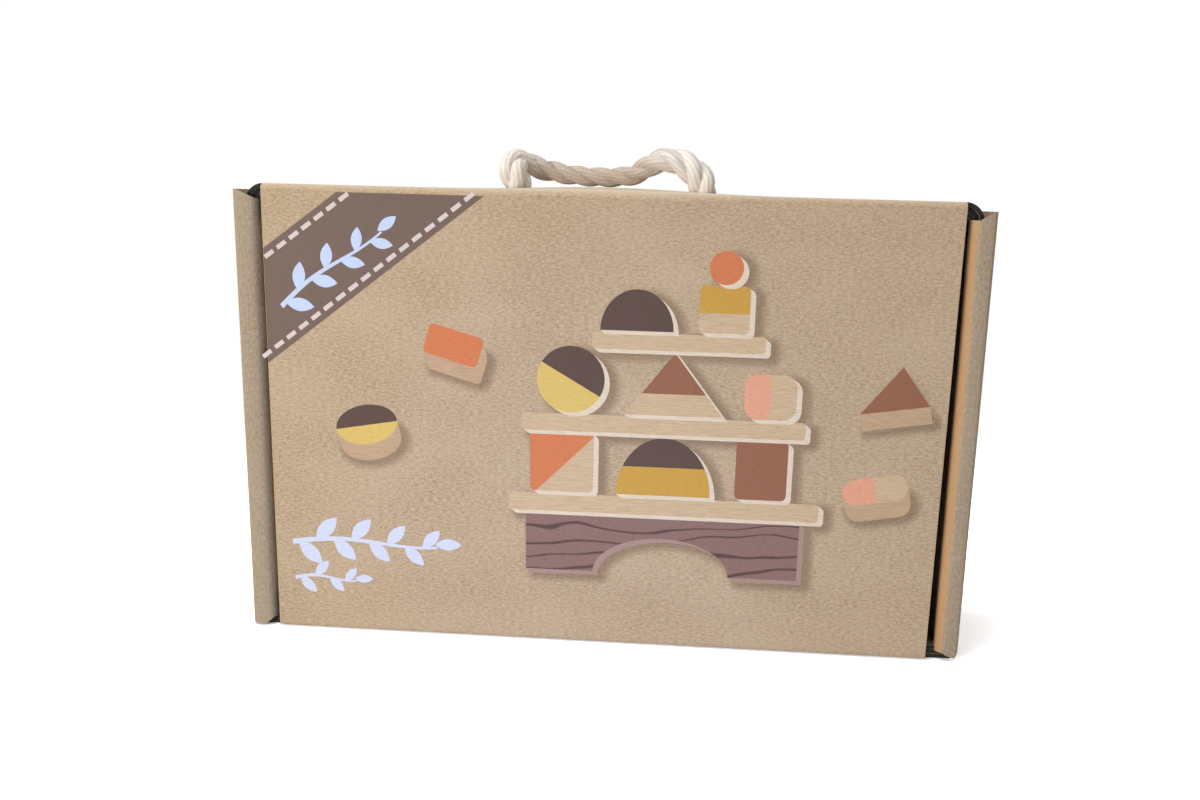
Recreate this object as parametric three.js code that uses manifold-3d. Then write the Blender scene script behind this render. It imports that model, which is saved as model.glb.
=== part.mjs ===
// Boxed balance game: a corrugated mailer carton with a rope handle, holding a wooden rocking animal
// and its loose stacking nuts. Millimetres, +Z up, the lid faces -Y, and the origin is the centre of the base.
import * as THREE from "three";
import { mergeVertices } from "three/addons/utils/BufferGeometryUtils.js";
import Module from "manifold-3d";

const wasm = await Module();
wasm.setup();

// Carton
const boxWidth = 287;
const boxDepth = 56;
const boxHeight = 181;
const board = 1.6;
const gap = 0.3;
const rollThickness = 10.1;
const rollInnerRadius = 4;
const rollOuterRadius = 2;
const rollTopDrop = 3.3;
const rollEndCut = 3.3;
const lidSideGap = 1.4;
const lidBottomGap = 0.5;
const tuckLength = 15;
const tuckEndInset = 8;
const flapCorner = 6;
const earLength = 17;
const earEndInset = 14;
const earTaper = 8;
const cornerBendRadius = 7;
const cornerFlapLength = 40;
const cornerFlapSetback = 2.6;

// Rope handle
const ropeDiameter = 8;
const holeSpacing = 74;
const holeClearance = 0.6;
const handleLift = 10;
const knotDiameter = 16;
const knotHeight = 14;
const ropeSides = 10;
const ropeSteps = 84;

// Game
const rockerHeight = 36;
const rockerShare = 0.717;
const rockRoom = 6.4;
const knotRoom = 5.4;
const rockerThickness = 30;
const animalThickness = 15;
const animalPointSteps = 2;
const dowelDiameter = 5;
const dowelLength = 24;
const woodChamfer = 1.2;
const nutLength = 36;
const nutWidth = 29;
const nutThickness = 15;
const nutRows = 3;
const nutLayers = 2;

// Derived places
const halfWidth = boxWidth / 2;
const halfDepth = boxDepth / 2;
const frontOuter = -halfDepth;
const frontInner = frontOuter + board;
const backOuter = halfDepth;
const backInner = backOuter - board;
const topInner = boxHeight - board;
const rollInner = halfWidth - rollThickness;
const lidHalf = rollInner - lidSideGap;
const wallHalf = lidHalf;
const contentBack = backInner - 0.7;
const contentFloor = board + gap;
const contentSide = lidHalf - board - 1;

// Materials
const kraft = material(0xb98a5c, 0.9);
const kraftEdge = material(0x8f6a44, 0.95);
const cotton = material(0xe6ddcf, 0.95);
const beech = material(0xcfa878, 0.6);
const plum = material(0x5f4550, 0.65);
const nutColours = [0xc98f2e, 0xd9b13c, 0xc46a34, 0xcf8466, 0x6a3f2a, 0xcfa878];

const group = new THREE.Group();

function material(color, roughness) {
  return new THREE.MeshStandardMaterial({ color, roughness, metalness: 0 });
}

function addMesh(name, geometry, finish, parent = group) {
  const mesh = new THREE.Mesh(geometry, finish);
  mesh.name = name;
  parent.add(mesh);
  return mesh;
}

// A box between two corners.
function slab(low, high) {
  const size = high.map((value, i) => value - low[i]);
  const geometry = new THREE.BoxGeometry(size[0], size[1], size[2]);
  geometry.translate(low[0] + size[0] / 2, low[1] + size[1] / 2, low[2] + size[2] / 2);
  return geometry;
}

// A closed outline of [u, v] points pushed out by length along the third axis.
function prism(outline, length, chamfer = 0) {
  const points = outline.map(([u, v]) => new THREE.Vector2(u, v));
  const shape = new THREE.Shape(points);
  const options = {
    depth: length - 2 * chamfer,
    steps: 1,
    bevelEnabled: chamfer > 0,
    bevelThickness: chamfer,
    bevelSize: chamfer,
    bevelOffset: -chamfer,
    bevelSegments: 1,
  };
  const geometry = new THREE.ExtrudeGeometry(shape, options);
  geometry.translate(0, 0, chamfer);
  return geometry;
}

// Turns a prism so that its outline lies in XZ and it runs along +Y from y.
function alongY(geometry, y, length) {
  geometry.rotateX(Math.PI / 2);
  geometry.translate(0, y + length, 0);
  return geometry;
}

// Turns a prism so that its outline lies in YZ and it runs along +X from x.
function alongX(geometry, x) {
  const toYZ = new THREE.Matrix4().set(0, 0, 1, x, 1, 0, 0, 0, 0, 1, 0, 0, 0, 0, 0, 1);
  geometry.applyMatrix4(toYZ);
  return geometry;
}

function arc(cx, cy, radius, from, to, steps) {
  const points = [];
  for (let i = 0; i <= steps; i++) {
    const angle = from + ((to - from) * i) / steps;
    points.push([cx + radius * Math.cos(angle), cy + radius * Math.sin(angle)]);
  }
  return points;
}

function toSolid(geometry) {
  const source = geometry.index ? geometry.toNonIndexed() : geometry;
  const bare = new THREE.BufferGeometry();
  bare.setAttribute("position", source.getAttribute("position").clone());
  const merged = mergeVertices(bare, 1e-4);
  return new wasm.Manifold(
    new wasm.Mesh({
      numProp: 3,
      vertProperties: new Float32Array(merged.attributes.position.array),
      triVerts: new Uint32Array(merged.index.array),
    }),
  );
}

function toGeometry(solid) {
  const mesh = solid.getMesh();
  const geometry = new THREE.BufferGeometry();
  geometry.setAttribute("position", new THREE.BufferAttribute(mesh.vertProperties, 3));
  geometry.setIndex(new THREE.BufferAttribute(mesh.triVerts, 1));
  geometry.computeVertexNormals();
  return geometry;
}

function cut(geometry, ...tools) {
  return toGeometry(tools.reduce((solid, tool) => solid.subtract(toSolid(tool)), toSolid(geometry)));
}

// An upright or lying cylinder between z values.
function post(x, y, low, high, radius, sides = 24) {
  const geometry = new THREE.CylinderGeometry(radius, radius, high - low, sides);
  geometry.rotateX(Math.PI / 2);
  geometry.translate(x, y, (low + high) / 2);
  return geometry;
}

// Tray panels
addMesh(
  "back_panel",
  slab([-halfWidth, backInner, 0], [halfWidth, backOuter, boxHeight]),
  kraft,
);
addMesh(
  "bottom_wall",
  slab([-wallHalf, frontInner + gap, 0], [wallHalf, backInner - gap, board]),
  kraft,
);

// The top wall meets the lid in a mitre, because the lid's crease lies on the outer corner.
const mitre = gap / 2;
const topProfile = [
  [frontOuter + mitre, boxHeight],
  [frontInner + mitre, topInner],
  [backInner - gap, topInner],
  [backInner - gap, boxHeight],
];
const holeRadius = ropeDiameter / 2 + holeClearance;
const topHoles = [-1, 1].map((side) =>
  post((side * holeSpacing) / 2, 0, topInner - 2, boxHeight + 2, holeRadius),
);
addMesh(
  "top_wall",
  cut(alongX(prism(topProfile, 2 * wallHalf), -wallHalf), ...topHoles),
  kraft,
);

// One rolled side wall: outer board, front fold and inner board in one strip, seen from above.
function rollProfile() {
  const inner = Math.max(rollInnerRadius - board, 0.2);
  const outer = Math.max(rollOuterRadius - board, 0.2);
  const back = backInner - gap;
  return [
    [halfWidth, back],
    [halfWidth - board, back],
    ...arc(halfWidth - board - outer, frontInner + outer, outer, 0, -Math.PI / 2, 3),
    ...arc(rollInner + board + inner, frontInner + inner, inner, -Math.PI / 2, -Math.PI, 4),
    [rollInner + board, back],
    [rollInner, back],
    ...arc(
      rollInner + rollInnerRadius,
      frontOuter + rollInnerRadius,
      rollInnerRadius,
      Math.PI,
      (3 * Math.PI) / 2,
      5,
    ),
    ...arc(
      halfWidth - rollOuterRadius,
      frontOuter + rollOuterRadius,
      rollOuterRadius,
      -Math.PI / 2,
      0,
      4,
    ),
  ];
}

const rollHeight = boxHeight - rollTopDrop;
const cutSlopeStart = rollInner + rollInnerRadius;
const cutSlopeEnd = halfWidth - board;
// The rolled wall's ends are cut back on the inner side, where the corner flaps turn in.
function rollEndTool(atTop) {
  const edge = atTop ? rollHeight : 0;
  const inward = atTop ? -rollEndCut : rollEndCut;
  const outward = atTop ? 5 : -5;
  const outline = [
    [rollInner - 2, edge + inward],
    [cutSlopeStart, edge + inward],
    [cutSlopeEnd, edge],
    [cutSlopeEnd, edge + outward],
    [rollInner - 2, edge + outward],
  ];
  const ordered = atTop ? outline : outline.reverse();
  return alongY(prism(ordered, boxDepth + 4), frontOuter - 2, boxDepth + 4);
}

function sideWall() {
  return cut(prism(rollProfile(), rollHeight), rollEndTool(true), rollEndTool(false));
}

function mirrorX(geometry) {
  const mirrored = geometry.clone();
  mirrored.scale(-1, 1, 1);
  const bare = mirrored.index ? mirrored.toNonIndexed() : mirrored;
  const place = bare.getAttribute("position");
  for (let i = 0; i < place.count; i += 3) {
    for (let k = 0; k < 3; k++) {
      const second = place.array[3 * (i + 1) + k];
      place.array[3 * (i + 1) + k] = place.array[3 * (i + 2) + k];
      place.array[3 * (i + 2) + k] = second;
    }
  }
  bare.computeVertexNormals();
  return bare;
}

const rightWall = sideWall();
addMesh("side_wall_right", rightWall, kraft);
addMesh("side_wall_left", mirrorX(rightWall), kraft);

// A corner flap: the wall's end bent through a quarter circle, then straight into the rolled side.
function cornerFlap(atTop) {
  const start = wallHalf + gap;
  const outerX = start + cornerBendRadius;
  const bendZ = boxHeight - cornerBendRadius;
  const end = bendZ - cornerFlapLength;
  const inner = cornerBendRadius - board;
  const outline = [
    ...arc(start, bendZ, cornerBendRadius, 0, Math.PI / 2, 7),
    ...arc(start, bendZ, inner, Math.PI / 2, 0, 7),
    [outerX - board, end],
    [outerX, end],
  ];
  const placed = atTop ? outline : outline.map(([x, z]) => [x, boxHeight - z]).reverse();
  const length = boxDepth - 2 * board - 2 * cornerFlapSetback;
  return alongY(prism(placed, length), frontInner + cornerFlapSetback, length);
}

for (const [level, atTop] of [["top", true], ["bottom", false]]) {
  const flap = cornerFlap(atTop);
  addMesh(`corner_flap_${level}_right`, flap, kraftEdge);
  addMesh(`corner_flap_${level}_left`, mirrorX(flap), kraftEdge);
}

// Lid, with its tuck flap and ears
const lidProfile = [
  [frontOuter, lidBottomGap],
  [frontInner, lidBottomGap],
  [frontInner, topInner - mitre],
  [frontOuter, boxHeight - mitre],
];
addMesh("lid_panel", alongX(prism(lidProfile, 2 * lidHalf), -lidHalf), kraft);

// The tuck flap's free edge swings on a circle about the lid's crease, and clears the bottom wall.
const tuckFront = frontInner + gap;
const tuckReach = tuckFront + tuckLength - frontOuter;
const tuckSwing = boxHeight - board - gap;
const tuckBottom = boxHeight - Math.sqrt(tuckSwing ** 2 - tuckReach ** 2);
const tuckHalf = lidHalf - tuckEndInset;
const tuckOutline = [
  [-tuckHalf, tuckFront],
  [tuckHalf, tuckFront],
  [tuckHalf, tuckFront + tuckLength - flapCorner],
  [tuckHalf - flapCorner, tuckFront + tuckLength],
  [-tuckHalf + flapCorner, tuckFront + tuckLength],
  [-tuckHalf, tuckFront + tuckLength - flapCorner],
];
const tuckGeometry = prism(tuckOutline, board);
tuckGeometry.translate(0, 0, tuckBottom);
addMesh("lid_tuck_flap", tuckGeometry, kraft);

const earOutline = [
  [tuckFront, earEndInset],
  [tuckFront + earLength, earEndInset + earTaper],
  [tuckFront + earLength, boxHeight - earEndInset - earTaper],
  [tuckFront, boxHeight - earEndInset],
];
const rightEar = alongX(prism(earOutline, board), lidHalf - board);
addMesh("lid_ear_right", rightEar, kraft);
addMesh("lid_ear_left", mirrorX(rightEar), kraft);

// Rope: one length from knot to knot, up through the left hole, folded back, arched and down again.
const holeX = holeSpacing / 2;
const knotTop = topInner - handleLift - gap;
const ropeEnd = knotTop + gap;
const ropeRoute = [
  [-holeX, 0, ropeEnd],
  [-holeX, 0, topInner],
  [-holeX - 0.9, -1.0, boxHeight + 3.6],
  [-holeX - 2.4, -1.4, boxHeight + 7.0],
  [-holeX - 1.6, 1.8, boxHeight + 9.4],
  [-holeX + 2.2, 5.6, boxHeight + 8.9],
  [-holeX + 9.5, 7.6, boxHeight + 7.3],
  [-holeX + 22, 8.2, boxHeight + 5.8],
  [1.6, 7.6, boxHeight + 4.8],
  [10, 6.2, boxHeight + 6.2],
  [17, 4.4, boxHeight + 9.6],
  [24, 2.6, boxHeight + 11.3],
  [31, 1.2, boxHeight + 9.9],
  [holeX - 1.2, 0.3, boxHeight + 6.0],
  [holeX, 0, topInner],
  [holeX, 0, ropeEnd],
].map(([x, y, z]) => new THREE.Vector3(x, y, z));
const ropeCurve = new THREE.CatmullRomCurve3(ropeRoute, false, "centripetal");
const ropeSection = new THREE.Shape(
  arc(0, 0, ropeDiameter / 2, 0, 2 * Math.PI, ropeSides)
    .slice(0, ropeSides)
    .map(([u, v]) => new THREE.Vector2(u, v)),
);
const ropeGeometry = new THREE.ExtrudeGeometry(ropeSection, {
  steps: ropeSteps,
  bevelEnabled: false,
  extrudePath: ropeCurve,
});
addMesh("rope_handle", ropeGeometry, cotton);
console.log(`rope length ${ropeCurve.getLength().toFixed(1)} mm`);

function knot() {
  const points = [[0, 0]];
  for (let i = 1; i < 10; i++) {
    const turn = (Math.PI * i) / 10;
    points.push([(knotDiameter / 2) * Math.sin(turn) ** 0.8, (knotHeight / 2) * (1 - Math.cos(turn))]);
  }
  points.push([0, knotHeight]);
  const geometry = new THREE.LatheGeometry(
    points.map(([r, z]) => new THREE.Vector2(r, z)),
    18,
  );
  geometry.rotateX(Math.PI / 2);
  return geometry;
}

for (const [name, side] of [["left", -1], ["right", 1]]) {
  const mesh = addMesh(`rope_knot_${name}`, knot(), cotton);
  mesh.position.set(side * holeX, 0, knotTop - knotHeight);
}

// Game: a half-moon rocker with a flat animal doweled to its top
// It fills the room that the nuts leave at its sides and the knots leave above it, and can still rock.
const game = new THREE.Group();
const gameReach = contentSide - nutLength - rockRoom;
const gameMiddle = contentBack - rockerThickness / 2;
const chordHalf = gameReach * rockerShare;
const rockerRadius = (chordHalf ** 2 + rockerHeight ** 2) / (2 * rockerHeight);
const rockerTop = contentFloor + rockerHeight;
const arcCentre = contentFloor + rockerRadius;
game.position.set(0, gameMiddle, 0);
group.add(game);

const arcHalf = Math.asin(chordHalf / rockerRadius);
const rockerOutline = [
  ...arc(0, arcCentre, rockerRadius, -Math.PI / 2 - arcHalf + 0.05, -Math.PI / 2 + arcHalf - 0.05, 40),
  [chordHalf - 2.5, rockerTop],
  [-chordHalf + 2.5, rockerTop],
];

// The animal's outline above the rocker, from its front paw round by the tail and head.
const animalKnots = [
  [-47, 0], [-33, 0], [-31, 8], [-26, 15], [-12, 17.5], [0, 15.5], [8, 8], [12, 0],
  [46, 0], [49.5, 5], [52, 10], [62, 11], [74, 18], [83, 32], [87, 50], [86, 68],
  [84.5, 82], [86.5, 95], [82, 104], [71, 107], [58, 102], [49.5, 90], [47, 76], [49.5, 63],
  [48.5, 54], [42, 53.5], [32, 58.5], [18, 62.5], [2, 63], [-9, 66.5], [-15, 75], [-18, 86],
  [-19, 96], [-17, 104], [-21, 111.5], [-29, 106], [-38, 103.5], [-49, 98.5], [-57.5, 90], [-61, 82],
  [-57.5, 75.5], [-49, 71], [-43, 65], [-43, 55], [-47, 42], [-50, 26], [-50.5, 9],
];
const sharp = new Set([0, 1, 7, 8, 34]);

// Rounds an outline through its knots, and leaves the knots in the sharp set as corners.
function smoothOutline(knots, corners, steps) {
  const points = [];
  const count = knots.length;
  const at = (i) => knots[(i + count) % count];
  for (let i = 0; i < count; i++) {
    const before = corners.has(i) ? at(i) : at(i - 1);
    const after = corners.has((i + 1) % count) ? at(i + 1) : at(i + 2);
    const flat = corners.has(i) && corners.has((i + 1) % count);
    const pieces = flat ? 1 : steps;
    for (let k = 0; k < pieces; k++) {
      const s = k / pieces;
      points.push([0, 1].map((axis) => {
        const [a, b, c, d] = [before, at(i), at(i + 1), after].map((p) => p[axis]);
        const bend = 2 * a - 5 * b + 4 * c - d;
        return 0.5 * (2 * b + (c - a) * s + bend * s * s + (3 * b - a - 3 * c + d) * s ** 3);
      }));
    }
  }
  return points;
}

const animalFoot = rockerTop + gap;
const outlineReach = Math.max(...animalKnots.map(([x]) => x));
const outlineHeight = Math.max(...animalKnots.map(([, z]) => z));
const spread = gameReach / outlineReach;
const rise = (knotTop - knotHeight - knotRoom - animalFoot) / outlineHeight;

const dowelPlaces = { dowel_front: -40 * spread, dowel_rear: 28 * spread };
const dowelLow = rockerTop + gap / 2 - dowelLength / 2;
const dowelHigh = dowelLow + dowelLength;
const boreRadius = dowelDiameter / 2 + gap;
const bores = Object.values(dowelPlaces).map((x) =>
  post(x, 0, dowelLow - gap, dowelHigh + gap, boreRadius, 16),
);

const rockerSolid = alongY(
  prism(rockerOutline, rockerThickness, woodChamfer),
  -rockerThickness / 2,
  rockerThickness,
);
addMesh("rocker", cut(rockerSolid, ...bores), plum, game);

const animalOutline = smoothOutline(animalKnots, sharp, animalPointSteps).map(([x, z]) => [
  x * spread,
  z * rise + animalFoot,
]);
const animalSolid = alongY(
  prism(animalOutline, animalThickness, woodChamfer),
  -animalThickness / 2,
  animalThickness,
);
addMesh("animal", cut(animalSolid, ...bores), beech, game);

for (const [name, x] of Object.entries(dowelPlaces)) {
  addMesh(name, post(x, 0, dowelLow, dowelHigh, dowelDiameter / 2, 16), beech, game);
}

// A stacking nut lying on its side: the cap with its stem at -u, the tip at +u.
const nutHalf = nutLength / 2;
const nutEdge = nutWidth / 2;
const nutUpper = [
  [nutHalf, 0], [nutHalf * 0.92, nutEdge * 0.2], [nutHalf * 0.72, nutEdge * 0.5],
  [nutHalf * 0.42, nutEdge * 0.76], [nutHalf * 0.08, nutEdge * 0.88], [-nutHalf * 0.16, nutEdge * 0.89],
  [-nutHalf * 0.2, nutEdge], [-nutHalf * 0.34, nutEdge * 0.98], [-nutHalf * 0.56, nutEdge * 0.82],
  [-nutHalf * 0.72, nutEdge * 0.56], [-nutHalf * 0.8, nutEdge * 0.2], [-nutHalf, nutEdge * 0.17],
];
const nutOutline = [...nutUpper, ...nutUpper.slice(1).reverse().map(([u, v]) => [u, -v])];
const nutShape = alongY(prism(nutOutline, nutThickness, woodChamfer), -nutThickness / 2, nutThickness);

let nutNumber = 0;
for (const side of [-1, 1]) {
  for (let layer = 0; layer < nutLayers; layer++) {
    for (let row = 0; row < nutRows; row++) {
      nutNumber += 1;
      const name = `nut_${String(nutNumber).padStart(2, "0")}`;
      const colour = nutColours[(nutNumber * 5 + row) % nutColours.length];
      const mesh = addMesh(name, nutShape.clone(), material(colour, 0.6));
      const turned = (row + layer + (side > 0 ? 1 : 0)) % 2;
      mesh.rotation.set(0, turned ? Math.PI : 0, 0);
      mesh.position.set(
        side * (contentSide - nutHalf),
        contentBack - nutThickness / 2 - layer * (nutThickness + gap),
        contentFloor + nutEdge + row * (nutWidth + gap),
      );
    }
  }
}

export default group;
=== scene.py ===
import math

import bmesh
import bpy
import numpy as np
from bpy.props import FloatProperty, FloatVectorProperty, IntProperty, PointerProperty
from mathutils import Matrix, Vector
from mathutils.geometry import delaunay_2d_cdt


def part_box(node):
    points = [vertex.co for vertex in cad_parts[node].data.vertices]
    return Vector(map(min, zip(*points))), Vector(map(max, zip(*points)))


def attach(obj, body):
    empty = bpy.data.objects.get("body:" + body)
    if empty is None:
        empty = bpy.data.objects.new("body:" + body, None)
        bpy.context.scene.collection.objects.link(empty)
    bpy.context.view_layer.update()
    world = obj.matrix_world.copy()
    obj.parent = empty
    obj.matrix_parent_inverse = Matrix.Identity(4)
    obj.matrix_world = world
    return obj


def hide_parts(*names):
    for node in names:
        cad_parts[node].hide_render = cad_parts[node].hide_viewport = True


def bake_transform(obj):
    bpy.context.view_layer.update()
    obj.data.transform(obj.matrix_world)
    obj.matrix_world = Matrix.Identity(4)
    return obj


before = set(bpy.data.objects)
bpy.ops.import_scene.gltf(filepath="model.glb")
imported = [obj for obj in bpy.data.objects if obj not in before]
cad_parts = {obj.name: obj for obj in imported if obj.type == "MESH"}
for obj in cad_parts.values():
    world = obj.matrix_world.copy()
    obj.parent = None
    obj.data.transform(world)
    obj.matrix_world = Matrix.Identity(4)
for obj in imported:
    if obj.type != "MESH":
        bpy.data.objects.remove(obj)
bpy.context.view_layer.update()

bl_info = {
    "name": "Boxed Balance Game",
    "version": (1, 0, 0),
    "blender": (4, 5, 0),
    "location": "View3D > Sidebar > Balance Game",
    "description": "Builds a corrugated carton with a rope handle and the wooden game inside it",
    "category": "Add Mesh",
}

TRAY, LID, HANDLE, GAME = "tray", "lid", "handle", "game"
SIDES = (("left", -1), ("right", 1))
MM = 0.001


def rgb(r, g, b):
    """A colour written as it looks on screen, as linear light."""
    linear = [((c / 255 + 0.055) / 1.055) ** 2.4 if c > 10 else c / 255 / 12.92 for c in (r, g, b)]
    return (*linear, 1.0)


# Settings


class CartonSettings(bpy.types.PropertyGroup):
    """Sizes of the folded carton"""

    width: FloatProperty(
        name="Width", description="Width over the rolled sides", default=0.287, unit="LENGTH"
    )
    depth: FloatProperty(
        name="Depth", description="Depth from the lid to the back", default=0.056, unit="LENGTH"
    )
    height: FloatProperty(name="Height", description="Height without the rope", default=0.181, unit="LENGTH")
    board: FloatProperty(
        name="Board", description="Thickness of the corrugated board", default=0.0016, unit="LENGTH"
    )
    lid_half: FloatProperty(
        name="Half Lid Width", description="From the middle to the lid's side edge",
        default=0.132, unit="LENGTH",
    )
    lid_bottom: FloatProperty(
        name="Lid Bottom", description="Height of the lid's lower edge", default=0.0005, unit="LENGTH"
    )
    fold: FloatProperty(
        name="Fold Radius", description="Radius of the fold that the lid hinges on",
        default=0.0026, unit="LENGTH",
    )
    back_fold: FloatProperty(
        name="Back Fold Radius", description="Radius of the folds round the back",
        default=0.0024, unit="LENGTH",
    )
    roll_inner: FloatProperty(
        name="Roll Inner Face", description="From the middle to a rolled side's inner face",
        default=0.1334, unit="LENGTH",
    )
    roll_top: FloatProperty(
        name="Roll Top", description="Height of the rolled sides", default=0.1777, unit="LENGTH"
    )
    roll_cut: FloatProperty(
        name="Roll End Cut", description="How far the rolls' ends are cut on the slant",
        default=0.0033, unit="LENGTH",
    )
    corner_bend: FloatProperty(
        name="Corner Bend", description="Radius of the bend into the corner flaps",
        default=0.007, unit="LENGTH",
    )
    flap_length: FloatProperty(
        name="Corner Flap Length", description="How far the corner flaps reach into the rolls",
        default=0.04, unit="LENGTH",
    )
    swell: FloatProperty(
        name="Top Swell", description="How far the top swells between the rope holes",
        default=0.0021, unit="LENGTH",
    )
    dip: FloatProperty(
        name="Top Dip", description="How far the top dips to the back", default=0.0017, unit="LENGTH"
    )
    sink: FloatProperty(
        name="Right End Sink", description="How far the right end has sunk", default=0.0008, unit="LENGTH"
    )
    roll_lean: FloatProperty(
        name="Right Roll Lean", description="How far the right roll leans out at its foot",
        default=0.0014, unit="LENGTH",
    )


class RopeSettings(bpy.types.PropertyGroup):
    """Sizes of the rope handle"""

    diameter: FloatProperty(
        name="Diameter", description="Diameter of the twisted rope", default=0.008, unit="LENGTH"
    )
    strands: IntProperty(name="Strands", description="Number of strands in the rope", default=3, min=2, max=8)
    lay: FloatProperty(
        name="Lay Length", description="Length of one full turn of the strands", default=0.027, unit="LENGTH"
    )
    spacing: FloatProperty(
        name="Hole Spacing", description="From one rope hole to the other", default=0.074, unit="LENGTH"
    )
    hole_room: FloatProperty(
        name="Hole Room", description="How far a hole's rim stands off the rope",
        default=0.0012, unit="LENGTH",
    )


class PrintSettings(bpy.types.PropertyGroup):
    """Sizes of the printed front"""

    lift: FloatProperty(
        name="Ink Lift", description="How far the print stands off the board", default=4e-05, unit="LENGTH"
    )
    dash: FloatProperty(
        name="Dash Length", description="Length of a printed stitch", default=0.0043, unit="LENGTH"
    )
    dash_width: FloatProperty(
        name="Dash Width", description="Width of a printed stitch", default=0.0017, unit="LENGTH"
    )
    pitch: FloatProperty(
        name="Dash Pitch", description="From one printed stitch to the next", default=0.0061, unit="LENGTH"
    )


class GameSettings(bpy.types.PropertyGroup):
    """Finish of the wooden pieces"""

    edge: FloatProperty(
        name="Edge Rounding", description="How far the wooden edges are rounded",
        default=0.0006, unit="LENGTH",
    )
    paint_lift: FloatProperty(
        name="Paint Lift", description="How far painted marks stand off the wood",
        default=6e-05, unit="LENGTH",
    )


class ColourSettings(bpy.types.PropertyGroup):
    """Colours of the paper, the rope, the inks and the stains"""

    kraft_light: FloatVectorProperty(
        name="Kraft Light", description="Pale fibres of the outer paper",
        default=rgb(208, 184, 152)[:3], subtype="COLOR", min=0, max=1,
    )
    kraft_dark: FloatVectorProperty(
        name="Kraft Dark", description="Dark fibres of the outer paper",
        default=rgb(152, 126, 92)[:3], subtype="COLOR", min=0, max=1,
    )
    cotton: FloatVectorProperty(
        name="Cotton", description="Palest tone of the rope",
        default=rgb(248, 243, 238)[:3], subtype="COLOR", min=0, max=1,
    )
    band: FloatVectorProperty(
        name="Band", description="Ink of the corner band",
        default=rgb(109, 89, 77)[:3], subtype="COLOR", min=0, max=1,
    )
    stitch: FloatVectorProperty(
        name="Stitch", description="Ink of the printed stitches",
        default=rgb(214, 199, 190)[:3], subtype="COLOR", min=0, max=1,
    )
    sprig: FloatVectorProperty(
        name="Sprig", description="Ink of the lower leaf sprigs",
        default=rgb(206, 211, 226)[:3], subtype="COLOR", min=0, max=1,
    )
    sprig_blue: FloatVectorProperty(
        name="Blue Sprig", description="Ink of the leaf sprig on the band",
        default=rgb(196, 208, 232)[:3], subtype="COLOR", min=0, max=1,
    )
    dark: FloatVectorProperty(
        name="Dark", description="Darkest ink of the block picture",
        default=rgb(82, 62, 54)[:3], subtype="COLOR", min=0, max=1,
    )
    chestnut: FloatVectorProperty(
        name="Chestnut", description="Red-brown of the block picture",
        default=rgb(142, 92, 66)[:3], subtype="COLOR", min=0, max=1,
    )
    mustard: FloatVectorProperty(
        name="Mustard", description="Deep yellow of the block picture",
        default=rgb(196, 150, 62)[:3], subtype="COLOR", min=0, max=1,
    )
    yellow: FloatVectorProperty(
        name="Yellow", description="Pale yellow of the block picture",
        default=rgb(214, 182, 98)[:3], subtype="COLOR", min=0, max=1,
    )
    terracotta: FloatVectorProperty(
        name="Terracotta", description="Orange of the block picture",
        default=rgb(205, 118, 72)[:3], subtype="COLOR", min=0, max=1,
    )
    salmon: FloatVectorProperty(
        name="Salmon", description="Pink of the block picture",
        default=rgb(222, 158, 124)[:3], subtype="COLOR", min=0, max=1,
    )
    beech: FloatVectorProperty(
        name="Beech", description="Pale tone of the plain wood",
        default=rgb(220, 190, 150)[:3], subtype="COLOR", min=0, max=1,
    )


# Nodes


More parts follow.
